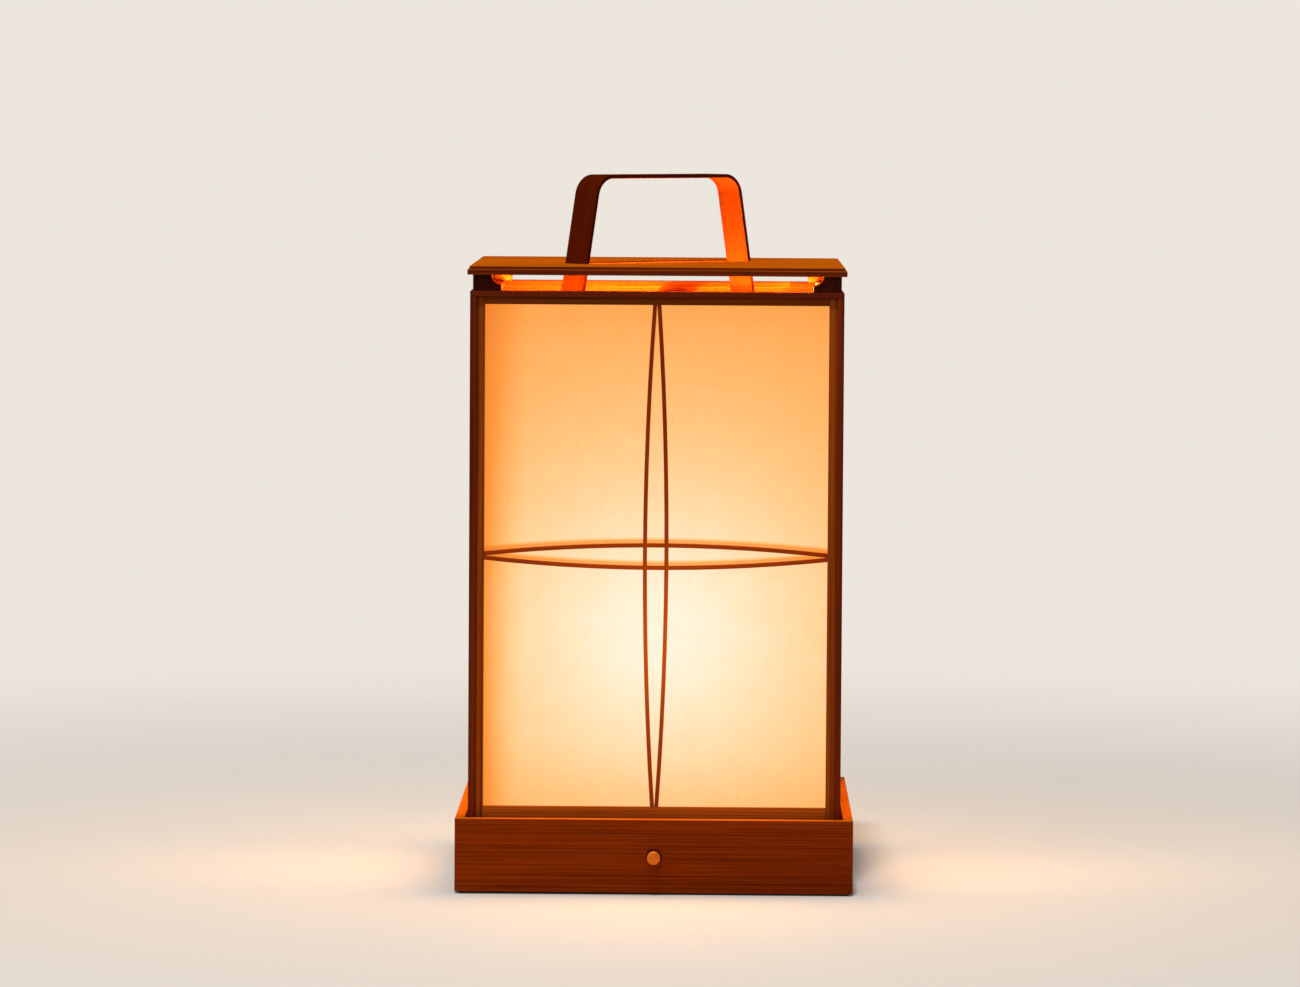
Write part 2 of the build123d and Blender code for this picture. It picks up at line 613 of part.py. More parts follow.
def dimmer_knob():
    """A turned pin with a domed face, bored from behind for the shaft."""
    length = KNOB_BACK - KNOB_FACE
    flat = KNOB_RADIUS - KNOB_EDGE
    side = Line((KNOB_RADIUS, 0, 0), (KNOB_RADIUS, 0, length - KNOB_DOME - KNOB_EDGE))
    edge = Line(side @ 1, (flat, 0, length - KNOB_DOME))
    dome_radius = (flat**2 + KNOB_DOME**2) / 2 / KNOB_DOME
    sag = dome_radius - math.sqrt(dome_radius**2 - (flat / 2) ** 2)
    dome = ThreePointArc(edge @ 1, (flat / 2, 0, length - sag), (0, 0, length))
    face = make_face([side, edge, dome, Line(dome @ 1, (0, 0, 0)), Line((0, 0, 0), side @ 0)])
    knob = Pos(0, KNOB_BACK, KNOB_HEIGHT) * Rot(90, 0, 0) * revolve(face, Axis.Z)
    knob -= along_y(SHAFT_RADIUS + GLUE_GAP, SHAFT_FACE, KNOB_BACK + 1, z=KNOB_HEIGHT)
    y = KNOB_FACE + GRUB_FROM_FACE
    return knob - rod(GRUB_RADIUS, KNOB_HEIGHT - KNOB_RADIUS - 1, KNOB_HEIGHT, y=y)


# ---------------------------------------------------------------- wiring
def cord_grommet():
    """A flanged rubber ring snapped into the back board."""
    inner_end = TRAY_INSIDE - GROMMET_FLANGE
    outer_end = TRAY_HALF + GROMMET_FLANGE
    ring = along_y(GROMMET_RADIUS, inner_end, outer_end, z=GROMMET_HEIGHT)
    ring += along_y(GROMMET_FLANGE_RADIUS, TRAY_HALF, outer_end, z=GROMMET_HEIGHT)
    ring += along_y(GROMMET_FLANGE_RADIUS, inner_end, TRAY_INSIDE, z=GROMMET_HEIGHT)
    return ring - along_y(CORD_RADIUS, inner_end - 1, outer_end + 1, z=GROMMET_HEIGHT)


def terminal_block():
    back = TRAY_INSIDE - TERMINAL_SETBACK
    front = back - TERMINAL_DEPTH
    half = TERMINAL_LENGTH / 2
    body = block(-half, half, front, back, FLOOR_TOP, FLOOR_TOP + TERMINAL_HEIGHT)
    for x in (-half / 2, half / 2):
        body -= rod(TERMINAL_SCREW_RADIUS, FLOOR_TOP + TERMINAL_HEIGHT / 2, FLOOR_TOP + TERMINAL_HEIGHT + 1, x, back - 4)
    return body


def lead(points):
    """A lead of straight runs joined by arcs that are as large as the runs allow."""
    vectors = [Vector(*p) for p in points]
    radii = []
    for before, corner, after in zip(vectors, vectors[1:], vectors[2:]):
        turn = math.radians((corner - before).get_angle(after - corner))
        shorter = min((corner - before).length, (after - corner).length)
        radii.append(0.45 * shorter / math.tan(turn / 2))
    path = FilletPolyline(*points, radius=radii)
    print("lead", round(path.length), "mm, arc radii", [round(r) for r in radii])
    section = Plane(origin=vectors[0], z_dir=vectors[1] - vectors[0]) * Circle(LEAD_RADIUS)
    return sweep(section, path=path)


def lead_supply():
    start = TRAY_INSIDE - TERMINAL_SETBACK - TERMINAL_DEPTH
    height = FLOOR_TOP + TERMINAL_HEIGHT / 2
    low = FLOOR_TOP + LEAD_RADIUS + LEAD_LIFT
    room = start - HOUSING_BACK
    return lead(
        [
            (0, start, height),
            (0, start - LEAD_RUN, height),
            (-0.6 * LEAD_SWAY, start - 0.23 * room, low),
            (-LEAD_SWAY, start - 0.43 * room, low),
            (-0.9 * LEAD_SWAY, start - 0.64 * room, low),
            (-0.5 * LEAD_SWAY, HOUSING_BACK + 2 * LEAD_RUN, low + LEAD_RISE),
            (-LEAD_SPACING, HOUSING_BACK + LEAD_RUN, KNOB_HEIGHT),
            (-LEAD_SPACING, HOUSING_BACK, KNOB_HEIGHT),
        ]
    )


def lead_lamp():
    low = FLOOR_TOP + LEAD_RADIUS + LEAD_LIFT
    return lead(
        [
            (LEAD_SPACING, HOUSING_BACK, KNOB_HEIGHT),
            (LEAD_SPACING, HOUSING_BACK + LEAD_RUN, KNOB_HEIGHT),
            (2 * LEAD_SPACING, 0.58 * HOUSING_BACK, low + LEAD_RISE),
            (1.7 * LEAD_SPACING, 0.29 * HOUSING_BACK, low + LEAD_RISE / 2),
            (0.6 * LEAD_SPACING, 0.11 * HOUSING_BACK, low + LEAD_RISE),
            (0, 0, DECK_UNDERSIDE - STEM_BELOW_DECK - LEAD_TO_STEM),
            (0, 0, HOLDER_BOTTOM + HOLDER_STEM_SEAT),
        ]
    )


# ---------------------------------------------------------------- write every node
os.makedirs("parts", exist_ok=True)

for side, angle in SIDES.items():
    save(f"tray_{side}", tray_board(side))

glue_corner = TRAY_INSIDE - GLUE_BLOCK_WIDTH
glue_block = block(glue_corner, TRAY_INSIDE, -TRAY_INSIDE, -glue_corner, FLOOR_TOP, DECK_UNDERSIDE)
glue_blocks = [turned_to(angle, glue_block) for angle in CORNERS.values()]
floor_board = block(-TRAY_INSIDE, TRAY_INSIDE, -TRAY_INSIDE, TRAY_INSIDE, FELT_THICKNESS, FLOOR_TOP)
for screw in tray_screws():
    floor_board -= screw
    glue_blocks = [piece - screw for piece in glue_blocks]
save("tray_glue_blocks", *glue_blocks)
save("tray_floor", floor_board)
save("tray_screws", *tray_screws())
felt_half = TRAY_HALF - FELT_INSET
save("tray_felt", block(-felt_half, felt_half, -felt_half, felt_half, 0, FELT_THICKNESS))
deck = block(-TRAY_INSIDE, TRAY_INSIDE, -TRAY_INSIDE, TRAY_INSIDE, DECK_UNDERSIDE, DECK_TOP)
save("tray_deck", deck - rod(STEM_RADIUS + STEM_CLEARANCE, DECK_UNDERSIDE - 1, DECK_TOP + 1))

nut = hex_nut(NUT_WIDTH, NUT_HEIGHT, STEM_RADIUS)
save("holder_nuts", Pos(0, 0, DECK_TOP) * nut, Pos(0, 0, DECK_UNDERSIDE - NUT_HEIGHT) * nut)
save("holder_stem", holder_stem())
save("lamp_holder", lamp_holder())
save("holder_contacts", *holder_contacts())
save("bulb_cap", bulb_cap())
save("bulb_collar", bulb_collar())
save("bulb_globe", bulb_globe())

save("dimmer_bracket", dimmer_bracket())
save("dimmer_housing", dimmer_housing())
save("dimmer_nut", dimmer_nut())
save("dimmer_spring", dimmer_spring())
save("switch_carriage", switch_carriage())
save("dimmer_shaft", dimmer_shaft())
save("dimmer_knob", dimmer_knob())
save("knob_grub_screw", grub_screw())
save("cord_grommet", cord_grommet())
save("terminal_block", terminal_block())
save("lead_supply", lead_supply())
save("lead_lamp", lead_lamp())

for corner, angle in CORNERS.items():
    save(f"bead_{corner}", turned_to(angle, corner_bead()))
for side, angle in SIDES.items():
    board = turned_to(angle, top_ring_board())
    for screw in brace_screws():
        board -= screw
    save(f"top_ring_{side}", board)
    save(f"stiles_{side}", *[turned_to(angle, piece) for piece in stiles()])
    save(f"rails_{side}", *[turned_to(angle, piece) for piece in rails()])
    save(f"lattice_{side}", *[turned_to(angle, piece) for piece in lattice()])
    save(f"paper_{side}", turned_to(angle, paper()))
save("bottom_ring", *[turned_to(angle, ring_board(DECK_TOP)) for angle in SIDES.values()])
save("vent_blocks", *[turned_to(angle, vent_block()) for angle in CORNERS.values()])
save("lid", lid())
save("handle", handle())
save("handle_brace_back", brace(45))
save("handle_brace_front", brace(225))
save("handle_pegs", *pegs())
save("brace_screws", *brace_screws())
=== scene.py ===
import json
import math

import bmesh
import bpy
from mathutils import Matrix, Vector, noise

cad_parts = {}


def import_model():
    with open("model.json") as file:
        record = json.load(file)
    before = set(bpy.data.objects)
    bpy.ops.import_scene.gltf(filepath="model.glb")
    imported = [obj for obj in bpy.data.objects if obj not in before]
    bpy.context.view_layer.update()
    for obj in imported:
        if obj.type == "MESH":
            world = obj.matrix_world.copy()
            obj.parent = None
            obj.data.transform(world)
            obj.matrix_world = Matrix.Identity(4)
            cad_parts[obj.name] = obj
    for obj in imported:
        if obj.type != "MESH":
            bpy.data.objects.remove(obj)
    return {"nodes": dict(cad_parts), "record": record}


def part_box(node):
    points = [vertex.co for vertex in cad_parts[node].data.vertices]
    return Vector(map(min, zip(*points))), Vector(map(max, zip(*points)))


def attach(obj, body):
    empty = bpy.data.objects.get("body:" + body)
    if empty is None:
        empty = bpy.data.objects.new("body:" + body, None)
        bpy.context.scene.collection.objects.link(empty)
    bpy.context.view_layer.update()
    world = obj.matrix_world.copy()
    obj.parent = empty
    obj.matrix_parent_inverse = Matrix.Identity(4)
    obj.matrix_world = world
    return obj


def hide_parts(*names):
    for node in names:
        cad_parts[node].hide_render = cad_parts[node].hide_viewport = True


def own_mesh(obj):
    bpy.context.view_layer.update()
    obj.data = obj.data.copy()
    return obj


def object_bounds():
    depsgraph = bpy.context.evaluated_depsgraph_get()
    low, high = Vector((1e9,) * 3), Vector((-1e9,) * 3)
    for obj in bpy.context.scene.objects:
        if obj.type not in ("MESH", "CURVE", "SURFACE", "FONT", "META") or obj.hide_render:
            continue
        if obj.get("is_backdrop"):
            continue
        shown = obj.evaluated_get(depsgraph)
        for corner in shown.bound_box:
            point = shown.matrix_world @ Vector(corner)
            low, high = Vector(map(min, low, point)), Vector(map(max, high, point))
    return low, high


# An andon floor lamp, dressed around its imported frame. Metres, +Z up, front towards -Y.

MM = 0.001
# Corners closer than this are merged into one.
CAD_MERGE, LATHE_MERGE, THREAD_MERGE = 0.001 * MM, 0.002 * MM, 0.01 * MM
ROUND_A_BEND = 3  # a grain that follows a bent strip, next to 0, 1 and 2 for X, Y and Z

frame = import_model()
cad_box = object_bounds()
SLOT_OF = {part["node"]: part["material_slot"] for part in frame["record"]["subparts"]}
BODY_OF = {node: body for body, nodes in frame["record"]["behaviour"]["bodies"].items() for node in nodes}
SIDES = {"front": 0, "right": 90, "back": 180, "left": 270}
LAMP_MIDDLE = (cad_box[0][2] + cad_box[1][2]) / 2  # its height above the floor
DIAGONAL = math.radians(45)  # the handle stands on the diagonal from the front left to the back right


# ---------------------------------------------------------------- shader maths
class Value:
    """A shader socket. Sums on it add Math nodes to its finish."""

    def __init__(self, finish, socket):
        self.finish = finish
        self.socket = socket

    def maths(self, operation, *others):
        return self.finish.node("ShaderNodeMath", {"operation": operation}, self, *others)

    def __add__(self, other):
        return self.maths("ADD", other)

    def __sub__(self, other):
        return self.maths("SUBTRACT", other)

    def __rsub__(self, other):
        return self.finish.node("ShaderNodeMath", {"operation": "SUBTRACT"}, other, self)

    def __mul__(self, other):
        return self.maths("MULTIPLY", other)

    def __truediv__(self, other):
        return self.maths("DIVIDE", other)

    def __pow__(self, other):
        return self.maths("POWER", other)

    __radd__ = __add__
    __rmul__ = __mul__


class Finish:
    """A material. Its constants sit on the shader's own sockets, and node() adds everything else."""

    def __init__(self, name, **constants):
        self.material = bpy.data.materials.new(name)
        self.material.use_nodes = True
        self.tree = self.material.node_tree
        self.shader = self.tree.nodes["Principled BSDF"]
        for name_of_socket, value in constants.items():
            self.shader.inputs[name_of_socket.replace("_", " ")].default_value = value

    def node(self, kind, settings, *inputs, output=0, **named):
        """Adds a node, sets its settings and then its sockets, and returns one of its outputs."""
        made = self.tree.nodes.new(kind)
        for setting, value in settings.items():
            if setting == "stops":
                self.set_stops(made.color_ramp, value)
            else:
                setattr(made, setting, value)
        for key, value in [*enumerate(inputs), *named.items()]:
            if isinstance(value, Value):
                self.tree.links.new(value.socket, made.inputs[key])
            elif value is not None:
                made.inputs[key].default_value = value
        return Value(self, made.outputs[output])

    def set_stops(self, ramp, stops):
        while len(ramp.elements) < len(stops):
            ramp.elements.new(0.5)
        for element, (position, shade) in zip(ramp.elements, stops):
            element.position = position
            element.color = shade

    def feed(self, **sockets):
        """Links values to the shader's sockets."""
        for name_of_socket, value in sockets.items():
            self.tree.links.new(value.socket, self.shader.inputs[name_of_socket.replace("_", " ")])

    def place(self, turn=0.0):
        """The piece's own X, Y and Z in metres, turned about Z."""
        spot = self.node("ShaderNodeTexCoord", {}, output=3)
        if turn:
            spot = self.node("ShaderNodeMapping", {}, spot, None, (0, 0, turn))
        return self.split(spot)

    def split(self, vector):
        parts = self.node("ShaderNodeSeparateXYZ", {}, vector).socket.node
        return [Value(self, parts.outputs[i]) for i in range(3)]

    def vector(self, x, y, z):
        return self.node("ShaderNodeCombineXYZ", {}, x, y, z)

    def cloud(self, vector, detail=2.0, distortion=0.0):
        """Smooth noise from 0 to 1, one swell for each unit of the vector."""
        sockets = {"Scale": 1.0, "Detail": detail, "Distortion": distortion}
        return self.node("ShaderNodeTexNoise", {}, vector, **sockets)

    def chance(self, number):
        """A random value from 0 to 1, the same wherever the number is."""
        return self.node("ShaderNodeTexWhiteNoise", {"noise_dimensions": "1D"}, W=number)

    def rise(self, value, low, high):
        """0 below low, 1 above high, smooth between."""
        return self.node("ShaderNodeMapRange", {"interpolation_type": "SMOOTHSTEP"}, value, low, high)

    def ramp(self, value, stops):
        return self.node("ShaderNodeValToRGB", {"stops": stops}, value)

    def mix(self, factor, first, second):
        """From the first colour to the second. The node's sockets for numbers and vectors are left alone."""
        left_alone = [None] * 5
        return self.node("ShaderNodeMix", {"data_type": "RGBA"}, factor, *left_alone, first, second, output=2)

    def bump(self, height, distance, strength=1.0):
        self.feed(Normal=self.node("ShaderNodeBump", {}, Strength=strength, Distance=distance, Height=height))


def paint(red, green, blue):
    """A colour written in 0 to 255, made linear for the shader by the sRGB curve."""
    shares = [shade / 255 for shade in (red, green, blue)]
    return (*[c / 12.92 if c <= 0.04 else ((c + 0.055) / 1.055) ** 2.4 for c in shares], 1.0)


def darkened(shade, share):
    """A paint with its light cut to a share."""
    return (*[c * share for c in paint(*shade)[:3]], 1.0)


# ---------------------------------------------------------------- wood
def wood(name, along, light, dark, ring, contrast, gloss, turn=0.0, lit=False):
    """Straight-grained softwood whose grain runs along X, Y or Z, given as 0, 1 or 2, or round a bend.
    Lit wood has some light of its own where the bulb shines through it."""
    finish = Finish(name, Specular_IOR_Level=gloss)
    spot = finish.place(turn)
    if along == ROUND_A_BEND:
        run, side, up = spot[0] + spot[2], spot[1], spot[1]
    else:
        run = spot[along]
        side, up = [spot[i] for i in range(3) if i != along]

    def drawn_out(swells_along, swells_across, detail):
        """Noise with so many swells in a metre along the grain and across it."""
        stretched = finish.vector(run * swells_along, side * swells_across, up * swells_across)
        return finish.cloud(stretched, detail=detail)

    ring_slope, wander, rarity, faintest = 0.42, 3.2, 1.6, 0.15
    rings = (up + side * ring_slope) / ring + drawn_out(1.6, 9, detail=1.0) * wander
    weight = finish.chance(rings.maths("FLOOR")) ** rarity + faintest
    phase = rings.maths("FRACT")
    late = finish.rise(phase, 0.35, 0.85) * (1.0 - finish.rise(phase, 0.88, 1.0))
    fibre = drawn_out(22, 1700, detail=3.0)
    broad = drawn_out(3, 26, detail=2.0)
    pale = finish.rise(drawn_out(5, 430, detail=1.0), 0.6, 0.72)
    streak = drawn_out(7, 680, detail=2.0)
    for_late, for_fibre, for_streak, for_pale = [share * contrast for share in (0.7, 0.5, 1.5, 0.25)]
    for_broad, ground = 0.8, 0.3
    depth = late * weight * for_late + (fibre - 0.5) * for_fibre + (broad - 0.5) * for_broad + ground
    depth = depth + (streak - 0.5) * for_streak - pale * for_pale
    roughness, roughness_range = 0.6, 0.3
    finish.feed(
        Base_Color=finish.mix(depth.maths("MAXIMUM", 0.0).maths("MINIMUM", 1.0), paint(*light), paint(*dark)),
        Roughness=roughness + (fibre - 0.5) * roughness_range,
    )
    finish.bump(fibre * 0.6 - late * weight * 0.4, 0.12 * MM, 0.5)
    if lit:
        bulb_height, reach, spread, fading = 0.19, 0.075, 0.11, -1.5
        aside = spot[0].maths("ABSOLUTE").maths("MINIMUM", spot[1].maths("ABSOLUTE"))
        shine = (((spot[2] - bulb_height) / reach) ** 2.0 + (aside / spread) ** 2.0 + 1.0) ** fading
        finish.shader.inputs["Emission Strength"].default_value = 1.0
        finish.feed(Emission_Color=finish.mix(shine, paint(0, 0, 0), paint(165, 68, 4)))
    return finish.material


# kind: light wood, late wood, ring width in mm, contrast of the grain, gloss
TIMBER = {
    "tray": ((134, 48, 6), (72, 19, 2), 1.9, 0.82, 0.0),
    # A lighter copy of the tray's timber for its top faces: painted glow from the paper.
    "tray_edge": ((204, 98, 14), (148, 60, 7), 1.9, 0.8, 0.0),
    "frame": ((150, 66, 8), (98, 38, 4), 1.9, 0.8, 0.03),
    # Lighter and darker copies of the frame's timber: painted glow on the bottom rails, painted shadow on the
    # top rails under the ring.
    "bottom_rail": ((171, 76, 8), (112, 44, 4), 1.9, 0.8, 0.03),
    "top_rail": ((118, 50, 6), (76, 29, 3), 1.9, 0.8, 0.03),
    "bead": ((110, 36, 6), (66, 15, 3), 1.7, 0.8, 0.03),
    "lid": ((214, 104, 10), (156, 62, 4), 2.6, 0.9, 0.0),
    # Darker copies for painted shade: the lid's edges, the ring's inner faces and ledges, the face under the
    # lid against the bulb's light, and the vent blocks' outer faces.
    "lid_edge": ((116, 42, 6), (70, 18, 3), 2.6, 0.9, 0.03),
    "ledge": ((102, 33, 4), (62, 15, 2), 1.9, 0.8, 0.0),
    "underside": ((146, 55, 7), (100, 32, 4), 2.6, 0.9, 0.0),
    "vent": ((62, 14, 3), (38, 7, 2), 2.2, 0.8, 0.03),
    "strip": ((136, 40, 3), (100, 23, 2), 1.3, 0.6, 0.03),
    "board": ((196, 148, 92), (150, 100, 52), 3.4, 0.7, 0.1),
    "block": ((205, 165, 112), (166, 120, 70), 2.8, 0.7, 0.1),
}
timber_made = {}


def timber(kind, along, turn=0.0):
    """One of the timbers above with its grain along X, Y or Z, made when it is first asked for."""
    key = (kind, along, turn)
    if key not in timber_made:
        light, dark, ring, contrast, gloss = TIMBER[kind]
        name = f"{kind}_grain_{'xyz'[along]}" + ("_diagonal" if turn else "")
        lit = kind == "strip"
        timber_made[key] = wood(name, along, light, dark, ring * MM, contrast, gloss, turn, lit)
    return timber_made[key]


# ---------------------------------------------------------------- other finishes
def washi():
    """Lit mulberry paper. Its map gives metres across from the middle, and height above the floor."""
    bulb_aside, bulb_height, bulb_gap = 0.0036, 0.1956, 0.1084  # the gap is from the bulb to the paper
    squeeze, fading = 0.96, -1.47
    half_width, crossing = 0.1293, 0.25445  # half the opening, and the height at which the strips cross
    finish = Finish("washi", Roughness=0.9, Specular_IOR_Level=0.1, Emission_Strength=1.0)
    across, height, _ = finish.split(finish.node("ShaderNodeUVMap", {"uv_map": "panel"}))

    def dimmed(value, low, high, darkest):
        """A share of the light, from the darkest at low to 1 at high."""
        return darkest + (1.0 - darkest) * finish.rise(value, low, high)

    def layer(swells_across, swells_up, plane, detail, distortion=0.0):
        """Noise with so many swells in a metre. Each layer cuts it at another plane."""
        spot = finish.vector(across * swells_across, height * swells_up, plane)
        return finish.cloud(spot, detail=detail, distortion=distortion)

    far = (((across - bulb_aside) * squeeze) ** 2.0 + (height - bulb_height) ** 2.0) / bulb_gap**2
    light = (far + 1.0) ** fading
    tucked_in = 0.002
    # The band along the left edge is painted shadow: the paper's light is cut there.
    band = 0.029 + height * 0.03  # the darker band along the left edge widens upwards
    light = light * dimmed(across + half_width + tucked_in, 0.0, band, 0.09)
    light = light * dimmed(height, 0.062, 0.115, 0.74)
    light = light * dimmed(height, 0.444, 0.404, 0.88)
    strip_start, strip_bow, shadow_depth = 1.6 * MM, 6.9 * MM, 0.9
    bow = 1.0 - (across / half_width) ** 2.0
    for way in (-1, 1):
        above = height - (crossing + way * (strip_start + strip_bow * bow))
        clear = finish.rise(above, 3.4 * MM, 6.8 * MM)
        light = light * (1.0 - above.maths("GREATER_THAN", 0.0) * (1.0 - clear) * shadow_depth)
    cloud = layer(55, 55, plane=0.0, detail=4.0)
    tangle = layer(26, 26, plane=3.0, detail=2.0, distortion=1.5)
    thread = 1.0 - finish.rise((tangle - 0.5).maths("ABSOLUTE"), 0.0, 0.006)
    patch = finish.rise(layer(90, 90, plane=7.0, detail=1.0), 0.55, 0.66)
    flecks = finish.rise(layer(210, 150, plane=11.0, detail=1.0, distortion=0.6), 0.735, 0.79)
    for_cloud, for_thread, for_flecks = 0.34, 0.3, 0.3
    light = light * (1.0 + (cloud - 0.5) * for_cloud - thread * patch * for_thread - flecks * for_flecks)
    spread = 0.333  # about a cube root, which gives the ramp's dim end more room
    stops = [
        (0.0, paint(232, 96, 14)),
        (0.3, paint(250, 149, 56)),
        (0.46, paint(252, 178, 98)),
        (0.6, paint(252, 199, 132)),
        (0.75, paint(252, 217, 166)),
        (0.88, paint(252, 231, 193)),
        (1.0, paint(252, 243, 220)),
    ]
    finish.feed(Emission_Color=finish.ramp(light**spread, stops))
    finish.shader.inputs["Base Color"].default_value = (0.05, 0.03, 0.015, 1)
    finish.bump(cloud, 0.3 * MM, 0.4)
    return finish.material


def metal(name, shade, roughness, streaks, along):
    """Turned or drawn metal, with so many fine marks in a metre along the given axis."""
    finish = Finish(name, Metallic=1.0)
    spot = finish.place()
    swells_round, dull_swells = 30, 160
    stretched = [c * (streaks if i == along else swells_round) for i, c in enumerate(spot)]
    marks = finish.cloud(finish.vector(*stretched), detail=2.0)
    dull = finish.cloud(finish.vector(*[c * dull_swells for c in spot]), detail=3.0)
    finish.feed(
        Base_Color=finish.mix(dull * 0.7, paint(*shade), darkened(shade, 0.72)),
        Roughness=roughness + (marks - 0.5) * 0.12 + (dull - 0.5) * 0.16,
    )
    finish.bump(marks, 0.02 * MM, 0.3)
    return finish.material


def moulded(name, shade, roughness, swells, depth, **constants):
    """Glazed, moulded or drawn stuff: an even colour, with slight mottling of so many swells in a metre."""
    finish = Finish(name, **constants)
    spot = finish.vector(*[c * swells for c in finish.place()])
    mottle = finish.cloud(spot, detail=3.0)
    finish.feed(
        Base_Color=finish.mix(mottle, paint(*shade), darkened(shade, 0.86)),
        Roughness=roughness + (mottle - 0.5) * 0.12,
    )
    finish.bump(mottle, depth, 0.3)
    return finish.material


def opal_glass():
    """White glass, lit from inside and brighter upwards."""
    finish = Finish("opal_glass", Specular_IOR_Level=0.5, Emission_Strength=0.8)
    spot = finish.place()
    globe_middle, dim_below, bright_above, haze_swells = 0.178, 0.045, 0.01, 120
    high = finish.rise(spot[2], globe_middle - dim_below, globe_middle + bright_above)
    haze = finish.cloud(finish.vector(*[c * haze_swells for c in spot]), detail=2.0)
    finish.feed(
        Emission_Color=finish.mix(high, paint(255, 186, 104), paint(255, 236, 204)),
        Base_Color=finish.mix(haze, paint(122, 116, 104), paint(108, 102, 92)),
        Roughness=0.18 + haze * 0.06,
    )
    return finish.material


def felt():
    """Pressed wool: fine tufts under longer wisps."""
    finish = Finish("felt", Sheen_Weight=0.4, Sheen_Roughness=0.6, Specular_IOR_Level=0.1)
    spot = finish.place()
    tuft_swells, wisp_swells = 900, 260
    tufts = finish.cloud(finish.vector(*[c * tuft_swells for c in spot]), detail=4.0)
    wisps = finish.cloud(finish.vector(*[c * wisp_swells for c in spot]), detail=2.0, distortion=3.0)
    finish.feed(
        Base_Color=finish.mix(tufts * 0.6 + wisps * 0.4, paint(38, 26, 20), paint(74, 54, 42)),
        Roughness=0.9 + (tufts - 0.5) * 0.1,
    )
    finish.bump(tufts, 0.4 * MM, 0.8)
    return finish.material


FINISHES = {
    "washi": washi(),
    "opal_glass": opal_glass(),
    "felt": felt(),
    "brass": metal("brass", (206, 104, 28), 0.32, 2600, 1),
    "steel": metal("steel", (176, 172, 166), 0.34, 900, 2),
    "nickel": metal("nickel", (206, 200, 190), 0.26, 900, 2),
    "porcelain": moulded(
        "porcelain", (238, 234, 224), 0.16, 60, 0.05 * MM, Coat_Weight=0.4, Coat_Roughness=0.08
    ),
    "collar_white": moulded("collar_white", (234, 230, 222), 0.42, 300, 0.04 * MM),
    "black_plastic": moulded("black_plastic", (30, 29, 28), 0.45, 700, 0.05 * MM),
    "rubber": moulded("rubber", (26, 24, 23), 0.7, 500, 0.06 * MM, Specular_IOR_Level=0.35),
    "lead_sheath": moulded("lead_sheath", (52, 40, 34), 0.55, 300, 0.05 * MM),
    "plywood": timber("board", 0),
    "pine": timber("block", 2),
    "bentwood": wood("bentwood", ROUND_A_BEND, (98, 28, 3), (62, 14, 2), 1.9 * MM, 0.9, 0.0, turn=-DIAGONAL),
    "kumiko": timber("strip", 2),
    "cedar": timber("frame", 0),
}
for node, piece in frame["nodes"].items():
    piece.data.materials.clear()
    piece.data.materials.append(FINISHES[SLOT_OF[node]])


# ---------------------------------------------------------------- making pieces
def finished(name, bm, materials, *nodes, smooth=40):
    """Turns a bmesh into a piece that rides with the CAD nodes that it stands for."""
    mesh = bpy.data.meshes.new(name)
    bm.to_mesh(mesh)
    bm.free()
    for material in materials:
        mesh.materials.append(material)
    mesh.polygons.foreach_set("use_smooth", [True] * len(mesh.polygons))
    mesh.set_sharp_from_angle(angle=math.radians(smooth))
    piece = bpy.data.objects.new(name, mesh)
    bpy.context.scene.collection.objects.link(piece)
    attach(piece, BODY_OF[nodes[0]])
    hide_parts(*nodes)
    return piece


def boards_of(bm):
    """The separate boards in a bmesh, as lists of faces."""
    waiting = set(bm.faces)
    while waiting:
        board = [waiting.pop()]
        for face in board:
            for edge in face.edges:
                for other in edge.link_faces:
                    if other in waiting:
                        waiting.remove(other)
                        board.append(other)
        yield board


def longest_way(board, ways=(0, 1, 2)):
    """0, 1 or 2 for the axis that a board is longest along, out of those to choose from."""
    spots = [v.co for face in board for v in face.verts]
    spans = [max(c[i] for c in spots) - min(c[i] for c in spots) for i in range(3)]
    longest = max(spans[i] for i in ways)
    return next(i for i in ways if spans[i] > longest - MM)


# The faces that may have a timber of their own, mostly lighter or darker copies that paint light and shade.
# Each takes three materials, for grain along X, Y and Z.
PLAIN, EDGE, OUTSIDE, BELOW, UPPER = range(0, 15, 3)


